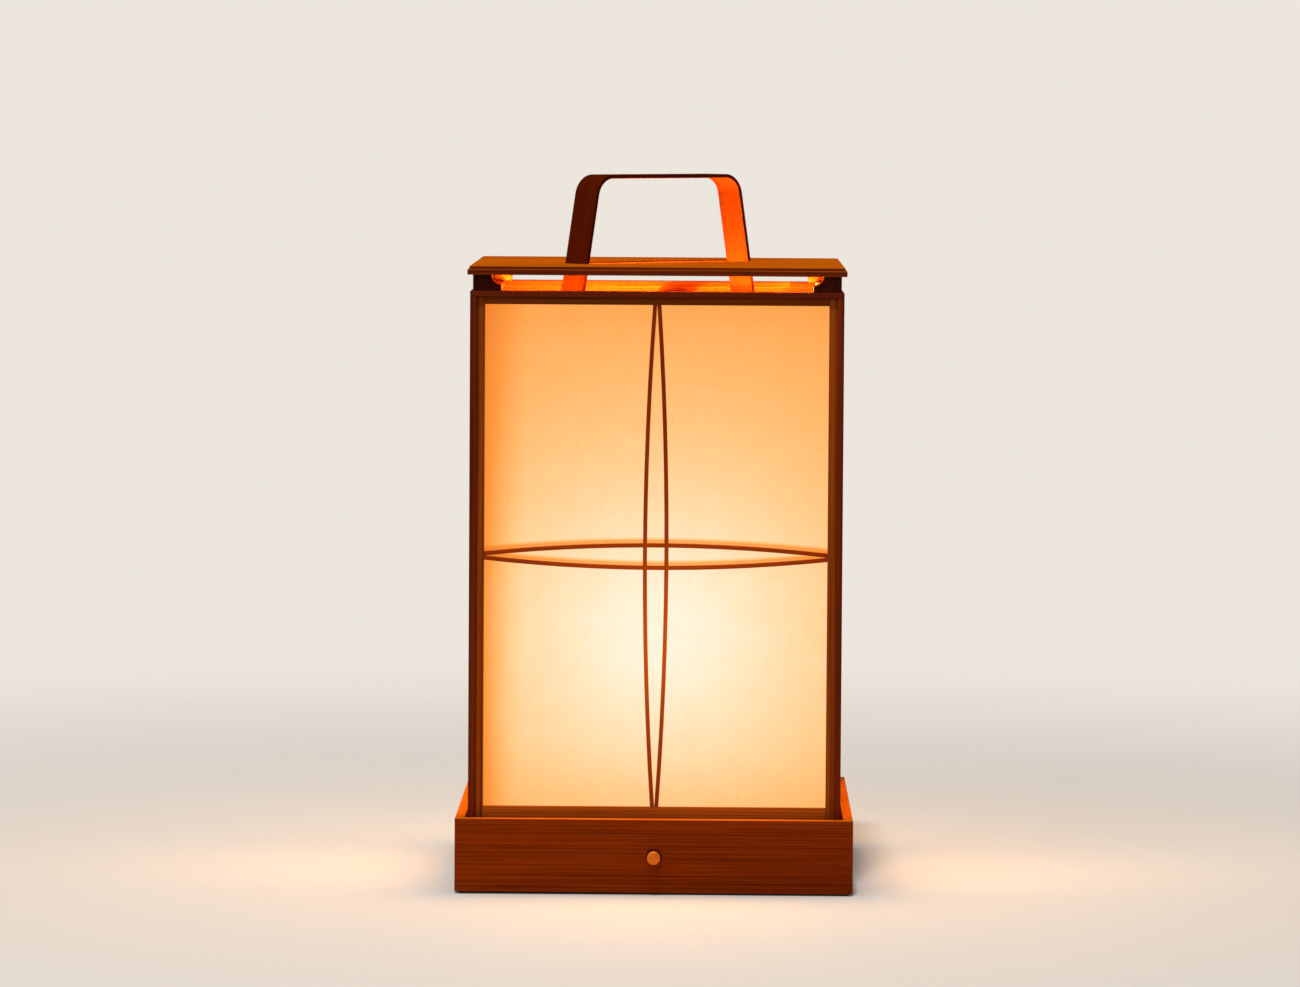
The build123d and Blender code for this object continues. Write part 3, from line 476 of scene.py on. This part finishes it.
def eased(
    node, radius, kind=None, along=None, turn=0.0,
    edge=None, outside=None, below=None, upper=None, each_face=(),
):
    """A CAD piece with its arrises rounded. Each board of a wooden one has the grain along its length.
    Its upright faces may be another timber, the edge, those that look away from the lamp's axis a third,
    those that look down a fourth, and its boards in the upper half of the lamp a fifth.
    Most of these other timbers are lighter or darker copies that paint light and shade on those faces.
    Boards that touch are one mesh, so each_face gives the ways to choose from for each of its faces."""
    most_tilt, looks_down = 0.5, -0.5
    flat, square = math.radians(0.3), math.radians(40)
    bm = bmesh.new()
    bm.from_mesh(frame["nodes"][node].data)
    bmesh.ops.remove_doubles(bm, verts=bm.verts, dist=CAD_MERGE)
    bmesh.ops.dissolve_limit(bm, angle_limit=flat, verts=bm.verts, edges=bm.edges)
    for board in boards_of(bm):
        way = longest_way(board) if along is None else along
        high = board[0].calc_center_median().z > LAMP_MIDDLE
        for face in board:
            upright = abs(face.normal.z) < most_tilt
            away = face.normal.xy.dot(face.calc_center_median().xy) > 0
            if each_face:
                way = longest_way([face], each_face)
            if upper and high:
                place = UPPER
            elif below and face.normal.z < looks_down:
                place = BELOW
            elif outside and upright and away:
                place = OUTSIDE
            elif edge and upright:
                place = EDGE
            else:
                place = PLAIN
            face.material_index = place + way
    arrises = [e for e in bm.edges if e.is_manifold and e.calc_length() > 4 * radius]
    arrises = [e for e in arrises if e.is_convex and e.calc_face_angle() > square]
    bmesh.ops.bevel(bm, geom=arrises, offset=radius, segments=2, profile=0.5, affect="EDGES", material=-1)
    if kind is None:
        materials = [FINISHES[SLOT_OF[node]]] * 3
    else:
        kinds = (kind, edge or kind, outside or kind, below or kind, upper or kind)
        materials = [timber(each, way, turn) for each in kinds for way in range(3)]
    finished(f"{node}_eased", bm, materials, node, smooth=50)


def turned(name, profile, rounds, steps, *nodes, lying=None, closed=False):
    """A piece turned on a lathe from (radius, height) corners in mm, each eased by its own radius.
    It stands at the origin, or lies with its top towards the front and its foot at the given point."""
    bm = bmesh.new()
    corners = [bm.verts.new((r * MM, 0, h * MM)) for r, h in profile]
    pairs = list(zip(corners, corners[1:]))
    if closed:
        pairs.append((corners[-1], corners[0]))
    for pair in pairs:
        bm.edges.new(pair)
    for corner, radius in zip(corners, rounds):
        if radius:
            bmesh.ops.bevel(
                bm, geom=[corner], offset=radius * MM, segments=5, profile=0.5, affect="VERTICES", material=-1
            )
    line = [*bm.verts, *bm.edges]
    bmesh.ops.spin(bm, geom=line, cent=(0, 0, 0), axis=(0, 0, 1), angle=math.tau, steps=steps, use_merge=True)
    bmesh.ops.remove_doubles(bm, verts=bm.verts, dist=LATHE_MERGE)
    if lying:
        bmesh.ops.rotate(bm, verts=bm.verts, cent=(0, 0, 0), matrix=Matrix.Rotation(math.radians(90), 3, "X"))
        bmesh.ops.translate(bm, verts=bm.verts, vec=lying)
    bmesh.ops.recalc_face_normals(bm, faces=bm.faces)
    finished(name, bm, [FINISHES[SLOT_OF[nodes[0]]]], *nodes, smooth=35)


# ---------------------------------------------------------------- wooden boards
for side in SIDES:
    # The tray's top faces take a lighter timber, painted glow; its sides and bottom take the plain one.
    eased(f"tray_{side}", 0.5 * MM, "tray_edge", edge="tray", below="tray")
    eased(f"stiles_{side}", 0.25 * MM, "frame")
    # The bottom rails take painted glow, the top rails painted shadow.
    eased(f"rails_{side}", 0.25 * MM, "bottom_rail", upper="top_rail")
    # The ring's upright faces that look in, the ledges among them, take a darker timber, painted shade.
    eased(f"top_ring_{side}", 0.4 * MM, "bead", edge="ledge", outside="bead")
    eased(f"lattice_{side}", 0.2 * MM, "strip", each_face=(0, 2) if side in ("front", "back") else (1, 2))
for corner in ("front_right", "back_right", "back_left", "front_left"):
    eased(f"bead_{corner}", 0.35 * MM, "bead")
eased("bottom_ring", 0.4 * MM, "frame")
# The blocks' faces that look away from the lamp take a dark timber, painted shade.
eased("vent_blocks", 0.4 * MM, "frame", along=2, outside="vent")
# The lid's edges and the face under it take darker timbers, painted shade.
eased("lid", 0.4 * MM, "lid", along=0, edge="lid_edge", below="underside")
for end in ("front", "back"):
    eased(f"handle_brace_{end}", 0.6 * MM, "frame", along=1, turn=-DIAGONAL)
eased("handle_pegs", 0.3 * MM, "block", along=0, turn=-DIAGONAL)
eased("tray_glue_blocks", 0.6 * MM, "block", along=2)
eased("tray_deck", 0.4 * MM, "board")
eased("tray_floor", 0.4 * MM, "board")


# ---------------------------------------------------------------- bent handle
def bent_handle():
    """One flat strip, drawn along its leg, round a bend, across the top and down the other leg."""
    low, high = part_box("handle")
    bottom, top = low.z, high.z
    thick, width, bend, arris = 3.0 * MM, 24.0 * MM, 18.0 * MM, 0.54 * MM
    foot_reach, top_reach, lid_top = 89.0 * MM, 76.0 * MM, 472.5 * MM
    straight_steps, bend_steps = 8, 20
    slope = (foot_reach - top_reach) / (top - lid_top)
    lean = math.atan(slope)
    reach = foot_reach + slope * (lid_top - bottom)
    middle_foot = reach - thick / 2 / math.cos(lean)
    turn_by = math.radians(90) - lean
    shoulder = bend * math.tan(turn_by / 2)
    leg_length = (top - bottom) / math.cos(lean) - shoulder
    bm = bmesh.new()
    section = bmesh.ops.create_grid(bm, x_segments=1, y_segments=1, size=0.5)["verts"]
    bmesh.ops.scale(bm, verts=section, vec=(thick, width, 1))
    corners = list(bm.verts)
    bmesh.ops.bevel(bm, geom=corners, offset=arris, segments=4, profile=0.5, affect="VERTICES", material=-1)
    bmesh.ops.rotate(bm, verts=bm.verts, cent=(0, 0, 0), matrix=Matrix.Rotation(lean, 3, "Y"))
    bmesh.ops.translate(bm, verts=bm.verts, vec=(-middle_foot, 0, bottom))
    end = list(bm.faces)

    def run(end, way, length):
        """Draws the strip's end straight on, and returns its new end."""
        for _ in range(straight_steps):
            grown = bmesh.ops.extrude_face_region(bm, geom=end)["geom"]
            end = [g for g in grown if isinstance(g, bmesh.types.BMFace)]
            verts = [g for g in grown if isinstance(g, bmesh.types.BMVert)]
            bmesh.ops.translate(bm, verts=verts, vec=way * (length / straight_steps))
        return end

    def curl(end, centre):
        """Draws the strip's end round a shoulder, and returns its new end."""
        spun = bmesh.ops.spin(bm, geom=end, cent=centre, axis=(0, 1, 0), angle=turn_by, steps=bend_steps)
        return [g for g in spun["geom_last"] if isinstance(g, bmesh.types.BMFace)]

    up = Vector((math.sin(lean), 0, math.cos(lean)))
    down = Vector((math.sin(lean), 0, -math.cos(lean)))
    inward = Vector((math.cos(lean), 0, -math.sin(lean)))
    elbow = Vector((-middle_foot, 0, bottom)) + up * leg_length
    centre = elbow + inward * (bend - thick / 2)
    end = run(end, up, leg_length)
    end = curl(end, centre)
    end = run(end, Vector((1, 0, 0)), -2 * centre.x)
    end = curl(end, Vector((-centre.x, 0, centre.z)))
    run(end, down, leg_length)
    bmesh.ops.rotate(bm, verts=bm.verts, cent=(0, 0, 0), matrix=Matrix.Rotation(DIAGONAL, 3, "Z"))
    bmesh.ops.recalc_face_normals(bm, faces=bm.faces)
    finished("bent_handle", bm, [FINISHES["bentwood"]], "handle", smooth=40)


bent_handle()


# ---------------------------------------------------------------- paper
def paper_sheet(side):
    """A sheet of washi drawn over the back of the lattice, hardly cockled by its paste."""
    low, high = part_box(f"paper_{side}")
    angle = math.radians(SIDES[side])
    width = max(high.x - low.x, high.y - low.y)
    height = high.z - low.z
    depth = math.hypot((low.x + high.x) / 2, (low.y + high.y) / 2)
    cockle, cockles_in_a_metre, thickness = 0.05 * MM, 30, 0.2 * MM
    bm = bmesh.new()
    bmesh.ops.create_grid(bm, x_segments=52, y_segments=76, size=0.5)
    bmesh.ops.scale(bm, verts=bm.verts, vec=(width, height, 1))
    panel = bm.loops.layers.uv.new("panel")
    middle = (low.z + high.z) / 2
    for face in bm.faces:
        for loop in face.loops:
            loop[panel].uv = (loop.vert.co.x, loop.vert.co.y + middle)
    for vert in bm.verts:
        across, up = vert.co.x * cockles_in_a_metre, vert.co.y * cockles_in_a_metre
        vert.co.z = cockle * noise.noise(Vector((across, up, SIDES[side])))
    bmesh.ops.solidify(bm, geom=bm.faces, thickness=thickness)
    stand = Matrix.Rotation(angle, 3, "Z") @ Matrix.Rotation(math.radians(90), 3, "X")
    bmesh.ops.rotate(bm, verts=bm.verts, cent=(0, 0, 0), matrix=stand)
    bmesh.ops.translate(bm, verts=bm.verts, vec=(depth * math.sin(angle), -depth * math.cos(angle), middle))
    piece = finished(f"washi_{side}", bm, [FINISHES["washi"]], f"paper_{side}", smooth=60)


for side in SIDES:
    paper_sheet(side)


# ---------------------------------------------------------------- turned pieces
def middle_of(node):
    """The middle of the box round a CAD node."""
    low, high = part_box(node)
    return (low + high) / 2


def knob():
    """The brass knob, slightly domed, with a bore for the dimmer's shaft."""
    low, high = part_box("dimmer_knob")
    radius, length, dome = (high.x - low.x) / 2 / MM, (high.y - low.y) / MM, 0.7
    bore, bore_depth = 3.05, 14.0
    crown = [(radius * share, length - dome * share**2) for share in (0.0, 0.2, 0.4, 0.6, 0.8)]
    profile = [*crown, (radius, length - dome), (radius, 0), (bore, 0), (bore, bore_depth), (0, bore_depth)]
    rounds = [0] * len(crown) + [0.9, 0.3, 0.2, 0, 0]
    centre = middle_of("dimmer_knob")
    turned("knob", profile, rounds, 72, "dimmer_knob", lying=Vector((centre.x, high.y, centre.z)))


def grommet():
    """A rubber ring with a flange on either side of the back board."""
    low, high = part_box("cord_grommet")
    length, wall = (high.y - low.y) / MM, 7.5
    neck, flange, bore, lip = 5.5, (high.x - low.x) / 2 / MM, 3.6, 2.0
    profile = [
        (bore, 0), (flange, 0), (flange, lip), (neck, lip), (neck, lip + wall), (flange, lip + wall),
        (flange, length), (bore, length),
    ]
    rounds = [0.6, 0.9, 0.4, 0, 0, 0.4, 0.9, 0.6]
    centre = middle_of("cord_grommet")
    foot = Vector((centre.x, high.y, centre.z))
    turned("grommet", profile, rounds, 64, "cord_grommet", lying=foot, closed=True)


def holder():
    """The porcelain holder, open at the top for the bulb's cap."""
    low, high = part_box("lamp_holder")
    bottom, top, radius = low.z / MM, high.z / MM, (high.x - low.x) / 2 / MM
    neck, stem, chamber = 12.0, 5.0, 15.0
    neck_top, shoulder, seat, chamber_floor = bottom + 10, bottom + 15, bottom + 8, bottom + 14
    profile = [
        (0, seat), (stem, seat), (stem, bottom), (neck, bottom), (neck, neck_top), (radius, shoulder),
        (radius, top), (chamber, top), (chamber, chamber_floor), (0, chamber_floor),
    ]
    rounds = [0, 0, 0.5, 1.2, 2.0, 2.6, 1.2, 0.8, 0, 0]
    turned("porcelain_holder", profile, rounds, 96, "lamp_holder")


def collar():
    """The bulb's collar, flaring from its cap to its globe, with two grooves round it."""
    low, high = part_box("bulb_collar")
    bottom, top, radius = low.z / MM, high.z / MM, (high.x - low.x) / 2 / MM
    foot, groove = 14.5, 0.7
    slope = (radius - foot) / (top - bottom)
    profile = [(0, bottom), (foot, bottom)]
    rounds = [0, 1.0]
    for height in (bottom + 4, top - 3):
        out = foot + slope * (height - bottom)
        profile += [(out, height), (out - groove, height + 0.4), (out + 0.5 * slope, height + 1.4)]
        rounds += [0.2, 0.3, 0.2]
    turned("collar", [*profile, (radius, top), (0, top)], [*rounds, 0.6, 0], 96, "bulb_collar")


def globe():
    """The bulb's hollow glass ball, cut off level where its collar begins."""
    low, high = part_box("bulb_globe")
    radius, wall = (high.x - low.x) / 2, 1.2 * MM
    bm = bmesh.new()
    bmesh.ops.create_uvsphere(bm, u_segments=96, v_segments=48, radius=radius)
    bmesh.ops.translate(bm, verts=bm.verts, vec=(0, 0, high.z - radius))
    everything = [*bm.verts, *bm.edges, *bm.faces]
    bmesh.ops.bisect_plane(bm, geom=everything, plane_co=(0, 0, low.z), plane_no=(0, 0, 1), clear_inner=True)
    bmesh.ops.recalc_face_normals(bm, faces=bm.faces)
    bmesh.ops.solidify(bm, geom=bm.faces, thickness=wall)
    finished("globe", bm, [FINISHES["opal_glass"]], "bulb_globe", smooth=60)


def screw_cap():
    """The bulb's cap: a rolled thread of sheet metal over a cone and a contact."""
    low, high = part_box("bulb_cap")
    pitch, depth, steps, points = 3.6, 0.75, 72, 10
    bottom, top, radius = low.z / MM, high.z / MM, (high.x - low.x) / 2 / MM
    thread_low, thread_high = bottom + 6, top - 2.5
    turns = math.ceil((thread_high - thread_low) / pitch) + 2
    bm = bmesh.new()
    chain = []
    for i in range(turns * points + 1):
        wave = radius - depth * (0.5 - 0.5 * math.cos(math.tau * i / points))
        chain.append(bm.verts.new((wave * MM, 0, (thread_low - pitch + i * pitch / points) * MM)))
    for pair in zip(chain, chain[1:]):
        bm.edges.new(pair)
    bmesh.ops.spin(
        bm, geom=[*bm.verts, *bm.edges], cent=(0, 0, 0), axis=(0, 0, 1), dvec=(0, 0, pitch * MM / steps),
        angle=math.tau, steps=steps,
    )
    bmesh.ops.remove_doubles(bm, verts=bm.verts, dist=THREAD_MERGE)
    ledge, contact, cone, skirt = radius * 0.93, 5.0, -4.0, 2.4
    for height, side, end, rise in ((thread_low, -1, contact, cone), (thread_high, 1, radius, skirt)):
        everything = [*bm.verts, *bm.edges, *bm.faces]
        cut = bmesh.ops.bisect_plane(
            bm, geom=everything, plane_co=(0, 0, height * MM), plane_no=(0, 0, side), clear_outer=True
        )["geom_cut"]
        rim = [g for g in cut if isinstance(g, bmesh.types.BMEdge)]
        for out, up in ((ledge, 0.0), (end, rise)):
            grown = bmesh.ops.extrude_edge_only(bm, edges=rim)["geom"]
            rim = [g for g in grown if isinstance(g, bmesh.types.BMEdge)]
            for vert in [g for g in grown if isinstance(g, bmesh.types.BMVert)]:
                flat = Vector((vert.co.x, vert.co.y, 0)).normalized() * out * MM
                vert.co = flat + Vector((0, 0, height * MM + up * MM))
        bmesh.ops.contextual_create(bm, geom=rim)
    bmesh.ops.recalc_face_normals(bm, faces=bm.faces)
    finished("screw_cap", bm, [FINISHES["nickel"]], "bulb_cap", smooth=50)


def solids_of(node):
    """The low and the high corner of the box round each separate solid of a CAD node."""
    bm = bmesh.new()
    bm.from_mesh(frame["nodes"][node].data)
    bmesh.ops.remove_doubles(bm, verts=bm.verts, dist=CAD_MERGE)
    boxes = []
    for solid in boards_of(bm):
        spots = [vert.co for face in solid for vert in face.verts]
        low, high = [Vector([pick(spot[i] for spot in spots) for i in range(3)]) for pick in (min, max)]
        boxes.append((low, high))
    bm.free()
    return boxes


def brace_screws():
    """Countersunk screws with a cross in the head, flush with the top ring."""
    radius, head, rim, depth, point = 1.5, 3.0, 0.25, 1.8, 1.5
    arm, arm_width, sunk, level = 1.9, 0.35, 1.1, 0.01
    boxes = solids_of("brace_screws")
    length = (boxes[0][1].z - boxes[0][0].z) / MM
    bm = bmesh.new()
    profile = [(0, 0), (head, 0), (head, -rim), (radius, -depth), (radius, point - length), (0, -length)]
    chain = [bm.verts.new((r * MM, 0, h * MM)) for r, h in profile]
    edges = [bm.edges.new(pair) for pair in zip(chain, chain[1:])]
    bmesh.ops.spin(
        bm, geom=[*chain, *edges], cent=(0, 0, 0), axis=(0, 0, 1), angle=math.tau, steps=40, use_merge=True
    )
    bmesh.ops.remove_doubles(bm, verts=bm.verts, dist=LATHE_MERGE)
    for axis in (Vector((1, 0, 0)), Vector((0, 1, 0))):
        for reach in (-arm, -arm_width, arm_width, arm):
            flat = [f for f in bm.faces if abs(f.calc_center_median().z) < level * MM]
            geom = [*flat, *{e for f in flat for e in f.edges}, *{v for f in flat for v in f.verts}]
            bmesh.ops.bisect_plane(bm, geom=geom, plane_co=axis * reach * MM, plane_no=axis)
    cross = []
    for face in bm.faces:
        spot = face.calc_center_median() / MM
        near, far = sorted((abs(spot.x), abs(spot.y)))
        if abs(spot.z) < level and near < arm_width and far < arm:
            cross.append(face)
    grown = bmesh.ops.extrude_face_region(bm, geom=cross)["geom"]
    bottom = [g for g in grown if isinstance(g, bmesh.types.BMVert)]
    bmesh.ops.translate(bm, verts=bottom, vec=(0, 0, -sunk * MM))
    bmesh.ops.delete(bm, geom=[f for f in cross if f.is_valid], context="FACES")
    bmesh.ops.recalc_face_normals(bm, faces=bm.faces)
    first = [*bm.verts, *bm.edges, *bm.faces]
    for low, high in boxes:
        copied = bmesh.ops.duplicate(bm, geom=first)["geom"]
        verts = [g for g in copied if isinstance(g, bmesh.types.BMVert)]
        bmesh.ops.translate(bm, verts=verts, vec=((low.x + high.x) / 2, (low.y + high.y) / 2, high.z))
    bmesh.ops.delete(bm, geom=[g for g in first if isinstance(g, bmesh.types.BMVert)], context="VERTS")
    finished("cross_head_screws", bm, [FINISHES["steel"]], "brace_screws", smooth=35)


def spring():
    """A coil against the housing's back wall."""
    low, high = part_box("dimmer_spring")
    wire, turns, steps, travel, wall = 0.35 * MM, 4, 128, 1.5 * MM, -0.12
    radius = (high.x - low.x) / 2 - wire
    rise = (high.y - low.y - 2 * wire) / steps
    bm = bmesh.new()
    place = Matrix.Translation((radius, 0, 0))
    first = bmesh.ops.create_circle(bm, segments=12, radius=wire, matrix=place)["verts"]
    start = list({edge for vert in first for edge in vert.link_edges})
    spun = bmesh.ops.spin(
        bm, geom=[*first, *start], cent=(0, 0, 0), axis=(0, 1, 0), dvec=(0, rise, 0), angle=turns * math.tau,
        steps=steps,
    )
    end = [g for g in spun["geom_last"] if isinstance(g, bmesh.types.BMEdge)]
    for ring in (start, end):
        bmesh.ops.contextual_create(bm, geom=ring)
    bmesh.ops.translate(bm, verts=bm.verts, vec=(0, low.y + wire, (low.z + high.z) / 2))
    bmesh.ops.recalc_face_normals(bm, faces=bm.faces)
    piece = finished("coil_spring", bm, [FINISHES["steel"]], "dimmer_spring", smooth=60)
    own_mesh(piece)


def lead(node, route):
    """A sheathed lead between two fittings, as long in metres as its route of points in mm."""
    curve = bpy.data.curves.new(f"{node}_line", "CURVE")
    curve.dimensions = "3D"
    curve.bevel_depth = 2.0 * MM
    curve.bevel_resolution = 5
    curve.resolution_u = 10
    curve.use_fill_caps = True
    spline = curve.splines.new("NURBS")
    spline.points.add(len(route) - 1)
    for point, spot in zip(spline.points, route):
        point.co = (*[c * MM for c in spot], 1)
    spline.order_u = 3
    spline.use_endpoint_u = True
    curve.materials.append(FINISHES[SLOT_OF[node]])
    piece = bpy.data.objects.new(f"{node}_line", curve)
    bpy.context.scene.collection.objects.link(piece)
    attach(piece, BODY_OF[node])
    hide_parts(node)
    [c * MM for c in route[0]]


def felt_sheet():
    """A square of felt glued under the tray."""
    low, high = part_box("tray_felt")
    width, thickness = high.x - low.x, high.z - low.z
    bm = bmesh.new()
    bmesh.ops.create_grid(bm, x_segments=48, y_segments=48, size=0.5)
    bmesh.ops.scale(bm, verts=bm.verts, vec=(width, width, 1))
    bmesh.ops.solidify(bm, geom=bm.faces, thickness=-thickness)
    cut_edge, square = 0.5 * MM, math.radians(60)
    rim = [e for e in bm.edges if e.is_manifold and e.calc_face_angle() > square]
    bmesh.ops.bevel(bm, geom=rim, offset=cut_edge, segments=3, profile=0.5, affect="EDGES", material=-1)
    shift = low.z - min(v.co.z for v in bm.verts)
    bmesh.ops.translate(bm, verts=bm.verts, vec=(0, 0, shift))
    piece = finished("felt_sheet", bm, [FINISHES["felt"]], "tray_felt", smooth=60)


lead(
    "lead_supply",
    [
        (0, 94.5, 11.5), (0, 74.5, 11.5), (-22.8, 45.6, 8.5), (-38, 3.1, 8.5),
        (-34.2, -41.5, 8.5), (-19, -78, 14.5), (-7, -98, 29), (-7, -118, 29),
    ],
)
lead(
    "lead_lamp",
    [
        (7, -118, 29), (7, -98, 29), (14, -68.4, 14.5), (11.9, -34.2, 11.5),
        (4.2, -13, 14.5), (0, 0, 26), (0, 0, 44), (0, 0, 76),
    ],
)
knob()
grommet()
holder()
collar()
globe()
screw_cap()
brace_screws()
spring()
felt_sheet()
small_fittings = (
    "holder_nuts", "dimmer_nut", "dimmer_bracket", "dimmer_housing", "switch_carriage", "terminal_block",
)
for node in small_fittings:
    eased(node, 0.3 * MM)


# ---------------------------------------------------------------- light, floor and camera
def world():
    """Even white light. What the lens, gloss and glass see of it is the pale backdrop."""
    light_level, backdrop_shade = 0.4, (236, 230, 221)
    made = bpy.data.worlds.new("studio")
    bpy.context.scene.world = made
    made.use_nodes = True
    tree = made.node_tree
    light = tree.nodes["Background"]
    light.inputs["Color"].default_value = (1, 1, 1, 1)
    light.inputs["Strength"].default_value = light_level
    backdrop = tree.nodes.new("ShaderNodeBackground")
    backdrop.inputs["Color"].default_value = paint(*backdrop_shade)
    rays = tree.nodes.new("ShaderNodeLightPath").outputs
    either = rays["Is Camera Ray"]
    for ray in ("Is Glossy Ray", "Is Transmission Ray"):
        most = tree.nodes.new("ShaderNodeMath")
        most.operation = "MAXIMUM"
        tree.links.new(either, most.inputs[0])
        tree.links.new(rays[ray], most.inputs[1])
        either = most.outputs[0]
    mix = tree.nodes.new("ShaderNodeMixShader")
    tree.links.new(either, mix.inputs[0])
    tree.links.new(light.outputs[0], mix.inputs[1])
    tree.links.new(backdrop.outputs[0], mix.inputs[2])
    tree.links.new(mix.outputs[0], tree.nodes["World Output"].inputs["Surface"])


def floor():
    """A pale disc just under the felt, which fades into the backdrop."""
    radius, fades_from, gone_by, gap, swells = 2.0, 0.5, 1.9, 0.1 * MM, 3
    finish = Finish("floor", Roughness=0.85, Specular_IOR_Level=0.1)
    x, y, _ = finish.place()
    reach = (x * x + y * y) ** 0.5
    speck = finish.cloud(finish.vector(x * swells, y * swells, 0.0), detail=2.0)
    finish.feed(
        Base_Color=finish.mix(speck, paint(222, 216, 208), paint(218, 212, 204)),
        Alpha=1.0 - finish.rise(reach, fades_from, gone_by),
    )
    bm = bmesh.new()
    bmesh.ops.create_circle(bm, cap_ends=True, segments=96, radius=radius)
    bmesh.ops.translate(bm, verts=bm.verts, vec=(0, 0, -gap))
    mesh = bpy.data.meshes.new("floor")
    bm.to_mesh(mesh)
    bm.free()
    mesh.materials.append(finish.material)
    piece = bpy.data.objects.new("floor", mesh)
    bpy.context.scene.collection.objects.link(piece)
    piece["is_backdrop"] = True


def lamp(name, kind, place, aim, power, shade=(1, 1, 1), **settings):
    """A light that the camera doesn't see. A square or rectangle shines towards its aim only."""
    data = bpy.data.lights.new(name, kind)
    data.energy = power
    data.color = shade
    for setting, value in settings.items():
        setattr(data, setting, value)
    made = bpy.data.objects.new(name, data)
    made.location = place
    made.rotation_mode = "QUATERNION"
    made.rotation_quaternion = (Vector(aim) - Vector(place)).to_track_quat("-Z", "Y")
    made.visible_camera = False
    bpy.context.scene.collection.objects.link(made)


def camera():
    """A little higher than the lamp, and far enough away to flatten it."""
    pan_degrees, tilt_degrees, roll_degrees = 0.525, 86.26, 0.364
    data = bpy.data.cameras.new("camera")
    data.sensor_width = 36
    data.lens = 169.4
    made = bpy.data.objects.new("camera", data)
    place = Matrix.Translation((0.0375, -4.728, 0.6023))
    pan = Matrix.Rotation(math.radians(pan_degrees), 4, "Z")
    tilt = Matrix.Rotation(math.radians(tilt_degrees), 4, "X")
    roll = Matrix.Rotation(math.radians(roll_degrees), 4, "Z")
    made.matrix_world = place @ pan @ tilt @ roll
    bpy.context.scene.collection.objects.link(made)
    bpy.context.scene.camera = made


def studio_lights():
    """A soft sun, high in front, and a broad window to the camera's left."""
    lamp("overhead", "SUN", (-0.15, -0.95, 2.4), (0, 0, 0), power=1.5, angle=math.radians(5))
    lamp("window", "AREA", (-1.5, -2.2, 1.5), (0, 0, 0.25), power=17, shape="SQUARE", size=1.5)


def lit_bulb():
    """Lights for what the bulb does where its own glass and the paper are too faint to do it."""
    straight_up = (0, 0, 1)
    lamp(
        "bulb_light", "SPOT", (0, 0, 0.25), straight_up, power=46, shade=(1, 0.76, 0.16),
        spot_size=2.2, spot_blend=0.4, shadow_soft_size=0.03,
    )
    lamp(
        "shade_light", "AREA", (0, 0, 0.42), straight_up, power=9, shade=(1, 0.64, 0.12),
        shape="SQUARE", size=0.22,
    )
    paper_out, paper_up, paper_width, paper_height = 0.1335, 0.2545, 0.256, 0.376
    for angle in SIDES.values():
        turn = Matrix.Rotation(math.radians(angle), 3, "Z")
        place, aim = turn @ Vector((0, -paper_out, paper_up)), turn @ Vector((0, -1, paper_up))
        lamp(
            f"glow_{angle}", "AREA", place, aim, power=1.0, shade=(1, 0.5, 0.16),
            shape="RECTANGLE", size=paper_width, size_y=paper_height,
        )
    for way in (-1, 1):
        corner, leg = 0.112 * way, 0.06 * way
        place, aim = (corner, corner, 0.447), (leg, leg, 0.46)
        lamp(
            f"corner_light_{way + 1}", "AREA", place, aim, power=0.3, shade=(1, 0.95, 0.1),
            shape="SQUARE", size=0.03,
        )


world()
floor()
studio_lights()
lit_bulb()
camera()
bpy.context.scene.view_settings.view_transform = "Standard"

boxes = {"cad": cad_box, "visual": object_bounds()}
{name: [list(corner) for corner in box] for name, box in boxes.items()}
